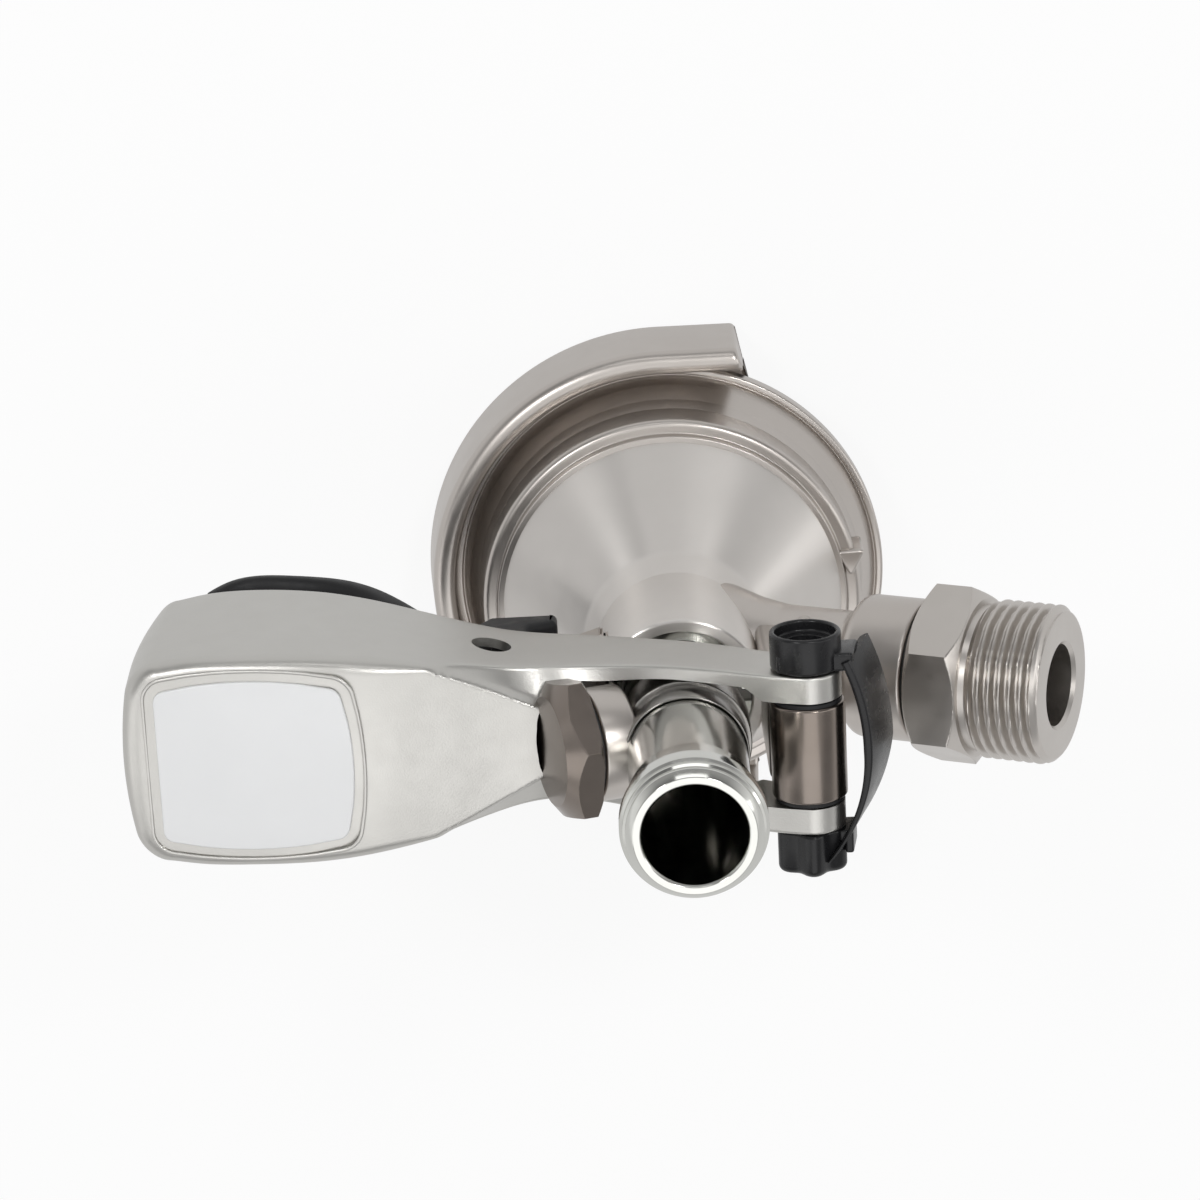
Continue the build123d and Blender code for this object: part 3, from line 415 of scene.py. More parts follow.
def cut(piece, parts, sharp=36.0):
    """Take closed parts out of a piece, and keep the result in its mesh."""
    points, faces = joined(parts)
    tool_mesh = bpy.data.meshes.new("cutter")
    tool_mesh.from_pydata((points * MM).tolist(), [], faces)
    work = bmesh.new()
    work.from_mesh(tool_mesh)
    bmesh.ops.recalc_face_normals(work, faces=work.faces)
    work.to_mesh(tool_mesh)
    work.free()
    tool = bpy.data.objects.new("cutter", tool_mesh)
    bpy.context.scene.collection.objects.link(tool)
    taking = piece.modifiers.new("cut", "BOOLEAN")
    taking.operation = "DIFFERENCE"
    taking.solver = "EXACT"
    taking.object = tool
    bpy.context.view_layer.update()
    result = bpy.data.meshes.new_from_object(piece.evaluated_get(bpy.context.evaluated_depsgraph_get()))
    piece.modifiers.clear()
    piece.data = result
    result.shade_smooth()
    result.set_sharp_from_angle(angle=radians(sharp))
    bpy.data.objects.remove(tool)


# Body casting

RAIL_INNER = 38.5
RAIL_OUTER = 43.3
FLANGE_R = 38.4
ARM_END = 14.6
ARM_ROUND = 0.9
ARM_LEAN = 0.2
ARM_FALL = 0.5
ARM_FALL_HEIGHT = 19.2


def horseshoe():
    """Base rail: a closed (radius, height) profile carried round a half circle and along two straight arms.

    The arms' ends lean and fall back with height squared, and their last sections shrink by a quarter
    circle to round the end's edges.
    """
    profile = rounded([
        (31.0, 0.0, 0.3), (RAIL_OUTER, 0.0, 0.6), (42.3, 15.9, 2.5), (RAIL_INNER, 16.3, 1.5), (37.9, 9.6, 0.4),
        (36.5, 9.0, 0.2), (36.5, 2.4, 0.3), (31.0, 2.4, 0.3),
    ], steps=6)
    angle = np.linspace(pi / 2, 3 * pi / 2, 161)
    rings = [np.stack([profile[:, 0] * cos(a), profile[:, 0] * sin(a), profile[:, 1]], 1) for a in angle]
    lean = (RAIL_OUTER - profile[:, 0]) * ARM_LEAN
    end_x = ARM_END - ARM_ROUND + lean - ARM_FALL * (profile[:, 1] / ARM_FALL_HEIGHT) ** 2
    for sign, at_start in ((1, True), (-1, False)):
        arm = []
        for share in (0.25, 0.5, 0.75, 0.9):
            arm.append(np.stack([end_x * share, sign * profile[:, 0], profile[:, 1]], 1))
        for t in np.linspace(0, pi / 2, 6):
            small = inset(profile, ARM_ROUND * (1 - cos(t)))
            arm.append(np.stack([end_x - ARM_ROUND + ARM_ROUND * sin(t), sign * small[:, 0], small[:, 1]], 1))
        rings = arm[::-1] + rings if at_start else rings + arm
    return ring_stack(rings)


flange_profile = rounded([
    (21.5, 7.2, 0.3), (FLANGE_R, 7.2, 0.5), (FLANGE_R, 10.6, 0.5), (37.3, 10.7, 0.3), (37.0, 10.0, 0.3),
    (35.9, 13.0, 2.5), (34.2, 16.6, 2.5), (33.3, 19.4, 1.0), (33.3, 27.4, 2.0), (31.0, 27.3, 0.25),
    (30.7, 28.4, 0.3), (29.6, 28.5, 0.3),
    (28.0, 28.0, 0.0), (17.0, 20.0, 0.3), (17.0, 11.8, 0.3), (21.5, 11.8, 0.2),
], steps=8)
cone_profile = rounded([
    (28.9, 27.6, 0.0), (29.75, 28.5, 0.15), (15.5, 47.2, 5.0), (13.85, 53.0, 2.5), (13.85, 78.0, 0.6),
    (11.65, 78.0, 0.4), (11.65, 47.0, 0.5), (12.6, 46.0, 0.5),
], steps=14)
waist_profile = rounded([
    (5.6, 8.0, 0), (11.6, 8.0, 0.5), (9.6, 15.0, 6.0), (8.8, 20.0, 6.0), (8.8, 33.4, 2.2), (12.0, 34.4, 2.6),
    (12.0, 45.4, 0.7), (9.1, 45.4, 0.2), (9.1, 37.4, 0.1), (5.6, 37.4, 0.1),
], steps=7)
boss_profile = rounded([
    (4.2, -8.0, 0.1), (6.04, -8.0, 0.45), (6.04, 8.0, 0.45), (4.2, 8.0, 0.1),
], steps=4)
plug_boss_profile = rounded([
    (5.1, 6.6, 0.1), (9.2, 6.6, 0.5), (9.2, 12.6, 0.8), (5.1, 12.6, 0.1),
], steps=4)
lug_outline = rounded([
    (12.9, 58.0, 0), (13.2, 98.6, 1.0), (17.0, 102.8, 0), (24.6, 102.8, 0), (24.6, 70.0, 2.0), (21.4, 56.0, 1.0),
])
web_outline = rounded([
    (-17.0, 87.0, 2.0), (-15.4, 97.4, 1.0), (-11.3, 97.7, 0.4), (-11.3, 62.0, 0), (-13.4, 64.0, 2.0),
])
arrow_outline = rounded([(29.0, 8.2, 0.6), (34.4, 8.4, 0.6), (31.6, 3.2, 0.6)])
waist_pin_profile = rounded([(0.02, 0.0, 0), (1.5, 0.0, 0), (1.5, 4.2, 0.7), (0.02, 4.2, 0)])
catch_outline = rounded([(-12.8, 55.4, 0), (-19.45, 61.6, 0.8), (-19.45, 66.2, 0.8), (-12.8, 71.4, 0)])

make(
    "base_casting",
    [
        horseshoe(),
        turned(flange_profile, sides=240),
        turned(waist_profile, GAS_ROOT, GAS_AXIS, 120),
        slab(lug_outline, -7.2, 7.2, 1.4),
        slab(web_outline, -7.6, 7.6, 1.2),
        turned(plug_boss_profile, PLUG_END, -PLUG_AXIS, 96),
        slab(catch_outline, -6.0, 6.0, 0.8),
        slab(arrow_outline, 20.0, 28.3, 0.5, plane="xy"),
        turned(waist_pin_profile, (21.4, 6.0, 62.0), (0.0, 0.5, 0.866), 40),
    ],
    "body", satin_nickel, ["body"],
)
# The hinge boss belongs to the body casting but takes the plug's darker bronze_plate material, so it reads darker than
# the satin nickel round it.
make("hinge_barrel", [turned(boss_profile, HINGE, (0, 1, 0), 96)], "body", bronze_plate)
make("cone_and_neck", [turned(cone_profile, sides=240)], "body", turned_nickel)

# Beer tube, collar and rings
tube_profile = rounded([
    (8.09, 18.0, 0.1), (9.56, 18.0, 0.1), (9.56, 126.0, 0.3), (10.3, 126.5, 0.3), (10.3, 131.9, 0.3),
    (11.2, 132.5, 0.3), (11.48, 133.0, 0.3), (11.48, 136.0, 0.35), (11.0, 136.5, 0.15), (11.0, 137.2, 0.2),
    (10.55, 137.6, 0.15), (10.55, 138.3, 0.3), (9.5, 139.5, 0.25), (8.4, 139.5, 0.25), (8.09, 139.1, 0.1),
], steps=4)
beer_tube = make(
    "beer_tube", [turned(tube_profile, sides=192)], "probe", polished_steel, ["probe_tube"], sharp=30,
)
# The barrel between these heights takes the lighter steel copy, a painted reflection of the bright cone below it.
PAINTED_BRIGHT_FROM, PAINTED_BRIGHT_TO = 80.0, 126.4
second_material(beer_tube, steel_painted_bright, PAINTED_BRIGHT_FROM, PAINTED_BRIGHT_TO)
make(
    "collar_turned",
    [turned(rounded([(9.62, 90.26, 0.1), (10.6, 90.26, 0.4), (10.6, 99.26, 0.2), (9.62, 99.26, 0.1)]), sides=144)],
    "probe", dark_steel, ["drive_collar"],
)
make(
    "lock_ring_turned",
    [turned(rounded([(9.62, 99.27, 0.1), (10.0, 99.27, 0.1), (10.0, 104.86, 0.3), (9.62, 104.86, 0.2)]), sides=144)],
    "probe", dark_steel, ["collar_lock_ring"],
)
STUD_START, STUD_END, STUD_R = 9.8, 2.8, 3.0
stud_profile = rounded([(0.02, 0.0, 0), (STUD_R, 0.0, 0.3), (STUD_R, STUD_END, 0.5), (0.02, STUD_END, 0)])
stud_profile = stud_profile + np.array([0, STUD_START])
make(
    "drive_studs",
    [turned(stud_profile, (0, 0, DRIVE_Z), (0, side, 0), 64) for side in (1, -1)],
    "probe", polished_steel, ["drive_pins"],
)

# Handle

NOSE_R = 5.6
HEEL_X = -90.5
HEEL_R = 5.0
HEEL_BOW, HEEL_BOW_X = 2.2, -78.0
HEEL_LEAN, HEEL_LEAN_X, HEEL_LEAN_TOP, HEEL_LEAN_DEPTH = 2.5, -58.0, 88.0, 21.5
FORK_X = -17.0
FORK_CORNER_R = 6.8
FORK_FLAT = 2.5
SLOT_END_X = -24.0
GRIP_START_X = -34.0
CREASE_END_X = -18.0
TOP_WALL = 3.0
SIDE_WALL = 2.3
BOTTOM_RIM = 0.4


def nose_half_height(x):
    """Half height of the arms' round nose: root of its radius squared less the distance past the hinge squared."""
    return np.sqrt(np.maximum(NOSE_R**2 - np.maximum(x - HINGE[0], 0) ** 2, 0))


def edge_height(x):
    """Height of the arms' flat top strip along X."""
    nose = HINGE[2] + nose_half_height(x)
    run = natural_curve(x, [
        (-92, 94.4), (-80, 95.6), (-60, 96.6), (-50, 96.3), (-43, 95.4), (-34, 93.2), (-28, 91.8), (-22, 91.0),
        (-15, 92.3), (-8, 95.2), (0, 99.4), (8, 103.6), (15, 107.0), (19.4, 108.4),
    ])
    return np.where(x > HINGE[0], nose, np.minimum(run, HINGE[2] + NOSE_R))


def crown_height(x, y):
    """Height of the grip's crowned back: a curve along X less c(x) times y squared."""
    middle = natural_curve(x, [
        (-92, 97.6), (-86, 98.0), (-69.8, 99.45), (-56, 100.6), (-50, 100.5), (-43, 99.2), (-36, 97.7), (-29, 96.3),
        (-23, 95.5),
    ])
    drop = natural_curve(x, [
        (-92, 0.0016), (-86, 0.0014), (-70, 0.0012), (-60, 0.0020), (-50, 0.0036), (-42, 0.0030), (-30, 0.0030),
        (-23, 0.0030),
    ])
    return middle - drop * y**2


def top_height(x, y):
    """Crowned back inside a crease, and outside it a strip that lies lower and falls to the outer edge."""
    slope = np.interp(
        x, [-92, -43, -40, -34, -28, -23.5, -18, -10, 0, 8], [3.2, 3.2, 2.7, 1.55, 0.80, 0.56, 0.45, 0.25, 0.08, 0.0],
    )
    strip = edge_height(x) + slope * np.maximum(grip_half_width(x) - np.abs(y), 0)
    crown = crown_height(np.minimum(x, CREASE_END_X), y)
    crease = np.interp(x, [-92, -50, -43, -40, -34, -28, -23.5, -17], [40, 22, 15.2, 13.9, 11.2, 8.4, 6.2, 5.0])
    inside = np.where(x < CREASE_END_X, 1 - ease(np.abs(y), crease - 0.3, crease + 0.7), 0.0)
    return strip + (crown - strip) * inside


def low_height(x):
    """Height of the handle's lower edge along X."""
    nose = HINGE[2] - nose_half_height(x)
    run = natural_curve(x, [
        (-92, 66.6), (-84, 66.2), (-70, 65.6), (-55, 68.5), (-39, 71.6), (-30, 72.8), (-22, 73.8), (-14, 77.0),
        (-4, 83.4), (6, 89.2), (14, 94.2), (19.4, 97.2),
    ])
    return np.where(x > HINGE[0], nose, run)


def grip_half_width(x):
    """Half of the handle's width seen from above."""
    return natural_curve(x, [
        (-92, 16.3), (-86, 16.8), (-80, 17.5), (-70, 17.8), (-60, 17.6), (-50, 16.6), (-41, 14.9), (-34, 13.3),
        (-28, 12.0), (-22, 11.4), (-15, 11.6), (-8, 12.3), (0, 13.0), (6, 13.2), (30, 13.2),
    ])


def half_handle():
    """Right half of the lever as a tube of closed sections standing along its plan outline.

    Each section runs up the outer wall, over the top to the fork's slot or the middle, back along the
    ceiling and down the inner wall. Sections go from the nose, past the fork's corner, round the heel.
    """
    nose = HINGE[0] + NOSE_R * np.sin(np.linspace(pi / 2, 0, 22))
    heel_start = HEEL_X + HEEL_R
    arm = np.linspace(HINGE[0], FORK_X, 52)[1:]
    corner = np.linspace(FORK_X, GRIP_START_X, 34)[1:]
    side = np.linspace(GRIP_START_X, heel_start, 76)[1:]
    x = np.concatenate([nose, arm, corner, side])
    y = grip_half_width(x)
    bend = np.linspace(0, pi / 2, 13)[1:]
    last_y = grip_half_width(heel_start)
    bend_x = heel_start - HEEL_R * np.sin(bend)
    bend_y = last_y - HEEL_R * (1 - np.cos(bend))
    end_y = np.linspace(last_y - HEEL_R, 0, 16)[1:]
    outer = np.concatenate([
        np.stack([x, y], 1), np.stack([bend_x, bend_y], 1), np.stack([np.full(len(end_y), HEEL_X), end_y], 1),
    ])
    bow = np.clip((HEEL_BOW_X - outer[:, 0]) / (HEEL_BOW_X - HEEL_X), 0, 1)
    outer[:, 0] += HEEL_BOW * (outer[:, 1] / last_y) ** 2 * bow
    count_arm = len(nose) + len(arm)
    arm_x = x[:count_arm]
    inner_arm = np.stack([arm_x, 9.3 + 1.6 * ease(arm_x, -16, 0) - 2.0 * ease(arm_x, 9.0, 12.5)], 1)
    arc = np.linspace(0, pi / 2, 27)[1:]
    arc_points = np.stack([FORK_X - FORK_CORNER_R * np.sin(arc), FORK_FLAT + FORK_CORNER_R * np.cos(arc)], 1)
    run_in = np.stack([-23.8 - 0.2 * np.sin(np.linspace(0, pi / 2, 8)[1:]), np.linspace(FORK_FLAT, 0, 8)[1:]], 1)
    spine_count = len(outer) - count_arm - len(arc_points) - len(run_in)
    spine = np.stack([np.linspace(SLOT_END_X, HEEL_BOW_X, spine_count + 1)[1:], np.zeros(spine_count)], 1)
    inner = np.concatenate([inner_arm, arc_points, run_in, spine])
    length = np.linalg.norm(inner - outer, axis=1)
    wall = np.where(outer[:, 0] > -15, length, np.minimum(length, SIDE_WALL))
    edge = 0.5 + 2.4 * ease(-outer[:, 0], 32, 54)
    edge = np.minimum(edge, 0.45 * length)
    edge = np.where(outer[:, 0] > HINGE[0], np.minimum(edge, 0.55 * nose_half_height(outer[:, 0]) + 1e-3), edge)
    rim = np.minimum(BOTTOM_RIM, edge)

    def at(share):
        """Plan points a share of the way in from the outline."""
        return outer + (inner - outer) * share[:, None]

    def under(plan):
        """Height of the top over plan points."""
        return top_height(plan[:, 0], plan[:, 1])

    low = low_height(outer[:, 0])
    loop = []
    turn = np.linspace(0, pi / 2, 6)
    for t in turn:
        loop.append((rim * (1 - np.sin(t)) / length, low + rim * (1 - np.cos(t))))
    shoulder = under(at(edge / length)) - edge
    for s in np.linspace(0, 1, 13)[1:-1]:
        loop.append((0 * length, low + rim + (shoulder - low - rim) * s))
    for t in turn:
        loop.append((edge * (1 - np.cos(t)) / length, shoulder + edge * np.sin(t)))
    for s in np.linspace(0, 1, 29)[1:]:
        share = (edge + (length - edge) * s) / length
        loop.append((share, under(at(share))))
    whole = np.ones_like(length)
    loop.append((whole, np.maximum(under(at(whole)) - TOP_WALL, low + 0.02)))
    for s in np.linspace(0, 1, 9)[1:]:
        share = (length + (wall - length) * s) / length
        loop.append((share, np.maximum(under(at(share)) - TOP_WALL, low + 0.02)))
    wall_top = loop[-1][1]
    for s in np.linspace(0, 1, 7)[1:-1]:
        loop.append((wall / length, wall_top + (low + rim - wall_top) * s))
    for t in turn:
        loop.append(((wall - rim * (1 - np.cos(t))) / length, low + rim * (1 - np.sin(t))))
    sections = []
    for share, z in loop:
        plan = at(share)
        top = under(at(np.minimum(share, 0.5)))
        flare = 0.9 * ease(-outer[:, 0], 34, 60) * np.clip((top - z) / np.maximum(top - low, 1), 0, 1)
        near_heel = np.clip((HEEL_LEAN_X - plan[:, 0]) / (HEEL_LEAN_X - HEEL_X), 0, 1)
        lean = HEEL_LEAN * (np.maximum(HEEL_LEAN_TOP - z, 0) / HEEL_LEAN_DEPTH) ** 2 * near_heel**2
        wide = 1 + flare / np.maximum(np.abs(outer[:, 1]), 6) * (outer[:, 0] > -90.3)
        sections.append(np.stack([plan[:, 0] + lean, plan[:, 1] * wide, z], 1))
    points = np.stack(sections, 1)
    rows, columns = points.shape[:2]
    faces = grid_faces(rows, columns, close_columns=True)
    on_middle = np.abs(points.reshape(-1, 3)[:, 1]) < 1e-6
    keep = ~on_middle[faces].all(1)
    return points.reshape(-1, 3), faces[keep]


half_points, half_faces = half_handle()
other_points = half_points * np.array([1, -1, 1])
handle = make(
    "lever_grip",
    [(half_points, half_faces.tolist()), (other_points, half_faces[:, ::-1].tolist())],
    "lever", cast_satin, ["handle"], sharp=32,
)


LABEL_HALF_LENGTH = 15.0
LABEL_HALF_WIDTH = 12.6
LABEL_BULGE = 1.7
RIM_OUT, RIM_HALF_WIDTH = 1.7, 0.28
RIM_LEVEL, RIM_HALF_HEIGHT = -0.36, 0.22


def label_outline(grow):
    """Label's outline in its own plane: a straight end, three bowed sides and rounded corners."""
    half_length, half_width, bulge = LABEL_HALF_LENGTH + grow, LABEL_HALF_WIDTH + grow, LABEL_BULGE
    t = np.linspace(-1, 1, 25)
    upper = np.stack([t * half_length, half_width + bulge * (1 - t**2)], 1)
    right = np.stack([half_length + bulge * (1 - t**2), -t * half_width], 1)
    lower = upper[::-1] * np.array([1, -1])
    corners = [
        (-half_length, half_width, 2.0 + grow), (half_length, half_width, 2.4 + grow),
        (half_length, -half_width, 2.4 + grow), (-half_length, -half_width, 2.0 + grow),
    ]
    loop = [corners[0]] + [(p[0], p[1], 0) for p in upper[5:-5]] + [corners[1]]
    loop += [(p[0], p[1], 0) for p in right[5:-5]] + [corners[2]]
    loop += [(p[0], p[1], 0) for p in lower[5:-5]] + [corners[3]]
    return rounded(loop, steps=8)


def on_label(flat, height):
    """Points of the label's plane, set at a height above it."""
    along = np.array([cos(LABEL_SLOPE), 0, sin(LABEL_SLOPE)])
    upward = np.array([-sin(LABEL_SLOPE), 0, cos(LABEL_SLOPE)])
    height = np.asarray(height).reshape(-1, 1)
    return LABEL_MIDDLE + flat[:, :1] * along + flat[:, 1:2] * np.array([0, 1, 0]) + height * upward


def label_solid(grow, low, high, edge):
    """Label-shaped slab in the label's plane with a rounded top edge."""
    rings = [on_label(label_outline(grow), low)]
    for t in np.linspace(0, pi / 2, 5):
        flat = inset(label_outline(grow), edge * (1 - np.cos(t)))
        rings.append(on_label(flat, high - edge + edge * np.sin(t)))
    return ring_stack(rings)


PIN_HOLE_R = 3.2
pin_hole = rounded([(0.01, 10, 0), (PIN_HOLE_R, 10, 0), (PIN_HOLE_R, 20, 0), (0.01, 20, 0)])
cut(handle, [
    label_solid(0.06, -0.30, 4.0, 0.01),
    turned(pin_hole, TRIGGER_PIN, (0, 1, 0), 48),
    turned(pin_hole, TRIGGER_PIN, (0, -1, 0), 48),
], sharp=32)
make("label_face", [label_solid(0.0, -0.5, 0.0, 0.3)], "lever", label_white, ["label_plate"], sharp=50)


def label_rim():
    """Narrow moulded ridge round the label: a small half-round section carried along its outline."""
    rings = []
    for a in np.linspace(0, 2 * pi, 12, endpoint=False):
        flat = label_outline(RIM_OUT + RIM_HALF_WIDTH * cos(a))
        rings.append(on_label(flat, RIM_LEVEL + RIM_HALF_HEIGHT * sin(a)))
    rings = np.array(rings)
    faces = grid_faces(len(rings), rings.shape[1], True, True)
    return rings.reshape(-1, 3), faces.tolist()


make("label_rim", [label_rim()], "lever", cast_satin, sharp=60)

# Trigger

def paddle():
    """Finger plate: a rounded oblong section carried along a curve in the XZ plane, widest near its end."""
    sections, sides = 60, 64
    t = np.linspace(0, 1, sections)
    x = natural_curve(t, [(0, -80.0), (0.12, -74.6), (0.3, -65), (0.5, -55), (0.7, -46.5), (0.86, -39.5), (1.0, -34.0)])
    z = natural_curve(t, [(0, 54.4), (0.12, 49.4), (0.3, 48.6), (0.5, 52.2), (0.7, 60.0), (0.86, 68.8), (1.0, 75.0)])
    thick = natural_curve(t, [(0, 2.6), (0.12, 3.8), (0.3, 4.2), (0.5, 4.6), (0.7, 5.4), (0.86, 6.6), (1.0, 7.4)])
    wide = natural_curve(t, [(0, 14.0), (0.12, 15.2), (0.3, 15.2), (0.5, 14.8), (0.7, 13.2), (0.86, 10.8), (1.0, 8.6)])
    ahead = np.stack([np.gradient(x), np.gradient(z)], 1)
    ahead /= np.linalg.norm(ahead, axis=1)[:, None]
    normal = np.stack([-ahead[:, 1], ahead[:, 0]], 1)
    angle = np.linspace(0, 2 * pi, sides, endpoint=False)
    across_y = np.sign(np.cos(angle)) * np.abs(np.cos(angle)) ** 0.34
    out = np.sign(np.sin(angle)) * np.abs(np.sin(angle)) ** 0.62
    rings = np.zeros((sections, sides, 3))
    rings[..., 0] = x[:, None] + normal[:, :1] * out * thick[:, None] / 2
    rings[..., 1] = across_y * wide[:, None]
    rings[..., 2] = z[:, None] + normal[:, 1:] * out * thick[:, None] / 2
    for row, shrink in ((0, 0.55), (1, 0.86), (sections - 1, 0.6)):
        middle = rings[row].mean(0)
        rings[row] = middle + (rings[row] - middle) * shrink
    return ring_stack(rings)


hook_outline = rounded([
    (-35.9, 81.0, 0), (-35.3, 66.5, 2.0), (-31.4, 60.5, 1.5), (-20.05, 60.5, 0.6), (-20.05, 64.5, 0.8),
    (-25.0, 66.6, 1.5), (-25.4, 81.0, 0),
])
hub_profile = rounded([(2.3, -8.6, 0.2), (5.3, -8.6, 0.6), (5.3, -3.8, 0.2), (2.3, -3.8, 0.2)])
cheek_outline = rounded([
    (-42.0, 71.0, 2), (-40.5, 78.0, 2), (-34.8, 84.6, 1), (-30.7, 80.0, 0), (-30.5, 71.0, 2), (-36.0, 67.0, 2),
])
HOOK_HALF_WIDTH = 10.2
make(
    "trigger_lever",
    [
        paddle(),
        slab(hook_outline, -HOOK_HALF_WIDTH, HOOK_HALF_WIDTH, 1.2),
        slab(cheek_outline, -8.5, -3.9, 0.6),
        slab(cheek_outline, 3.9, 8.5, 0.6),
        turned(hub_profile, TRIGGER_PIN, (0, 1, 0), 64),
        turned(hub_profile * np.array([1, -1]), TRIGGER_PIN, (0, 1, 0), 64),
    ],
    "trigger", black_plastic, ["trigger"],
)
AXLE_R, AXLE_HALF = 2.2, 9.6
axle_profile = rounded([
    (0.02, -AXLE_HALF, 0), (AXLE_R, -AXLE_HALF, 0.4), (AXLE_R, AXLE_HALF, 0.4), (0.02, AXLE_HALF, 0),
])
make(
    "trigger_axle", [turned(axle_profile, TRIGGER_PIN, (0, 1, 0), 48)],
    "lever", pin_steel, ["trigger_pin"],
)
COIL_R, COIL_PITCH, COIL_HALF, WIRE_R = 2.95, 1.1, 2.75, 0.45
turns = np.linspace(0, 10 * pi, 260)
coil_path = TRIGGER_PIN + np.stack([
    COIL_R * np.cos(turns), turns / (2 * pi) * COIL_PITCH - COIL_HALF, COIL_R * np.sin(turns),
], 1)
make("trigger_coil", [tube(coil_path, WIRE_R, 12)], "lever", polished_steel, ["trigger_spring"], sharp=60)

# Hinge pin's cap, strap and knob

def strap():
    """Strap: a leaning oblong section turned through 55.5 degrees; past its middle it stands up and draws in."""
    reach, sag, chord = 29.2, 3.8, 16.5
    bow = (chord**2 + sag**2) / (2 * sag)
    middle_x = reach - bow
    section = rounded([
        (bow, 107.2, 0.5), (bow + 4.3, 98.2, 0.5), (bow + 2.7, 98.2, 0.5), (bow - 1.6, 107.2, 0.5),
    ], steps=4)
    angle = np.radians(np.linspace(-31.5, 24, 61))
    past = np.clip(-angle / angle.max(), 0, 1.35)[:, None]
    radius = bow + (section[None, :, 0] - bow) * (1 - 0.55 * past) - 1.2 * past**2
    rings = np.stack([
        middle_x + radius * np.cos(angle)[:, None],
        radius * np.sin(angle)[:, None],
        np.broadcast_to(section[None, :, 1], (61, len(section))),
    ], -1)
    return ring_stack(rings)


cap_profile = rounded([
    (3.1, 13.5, 0.1), (5.7, 13.5, 0.5), (5.7, 19.5, 0.5), (4.8, 19.5, 0.4), (4.8, 17.6, 0.4), (3.1, 17.6, 0.1),
], steps=4)
cap_pad = rounded([(14.6, 99.4, 0.6), (14.6, 106.6, 0.6), (26.6, 106.6, 0.6), (28.0, 99.4, 0.6)])
make(
    "pin_cap_strap",
    [
        turned(cap_profile, (HINGE[0], 0, HINGE[2]), (0, 1, 0), 96),
        slab(cap_pad, 13.5, 16.5, 0.5),
        strap(),
    ],
    "body", gloss_black, ["pin_keeper"],
)


def knob():
    """Five-lobed knob: radius = 5.1 + 0.6 cos(5 a), drawn in at both rounded ends."""
    foot, end, foot_round, end_round, end_draw = 13.5, 20.7, 0.5, 1.3, 2.4
    first, last = np.linspace(0, pi / 2, 5), np.linspace(0, pi / 2, 9)
    height = np.concatenate([foot + foot_round * (1 - np.cos(first)), end - end_round * (1 - np.sin(last)), [end]])
    shrink = np.concatenate([foot_round * (1 - np.sin(first)), end_round * (1 - np.cos(last)), [end_draw]])
    angle = np.linspace(0, 2 * pi, 120, endpoint=False)
    radius = 5.1 + 0.6 * np.cos(5 * (angle - pi / 2))
    return shaped(radius[None] - shrink[:, None], height, HINGE, (0, -1, 0))


tab_outline = rounded([(24.6, 99.6, 0.4), (24.6, 106.2, 0.4), (25.9, 106.2, 0.4), (26.9, 99.6, 0.4)])
knob_pad = rounded([(23.7, 100.0, 0.4), (23.7, 106.2, 0.4), (25.1, 106.2, 0.4), (26.5, 100.0, 0.4)])
make(
    "pin_knob_lobed",
    [knob(), slab(knob_pad, -15.3, -13.5, 0.3), slab(tab_outline, -17.4, -13.6, 0.4)],
    "body", gloss_black, ["pin_knob"],
)

# Gas nipple

def six_sided(across_flats, sides, first_corner):
    """Radius of a hexagon by angle: half its width across flats over the cosine of the angle off the nearest flat."""
    angle = np.linspace(0, 2 * pi, sides, endpoint=False) - first_corner
    off = (angle + 1e-9) % (pi / 3) - pi / 6
    return across_flats / 2 / np.cos(off)


NIPPLE_ACROSS_FLATS = 27.0
NIPPLE_HEX = 46.4, 55.6
THREAD_END = 69.3
THREAD_ROOT, THREAD_DEPTH, THREAD_PITCH = 12.05, 1.17, 1.814
GAS_BORE_R = 6.8


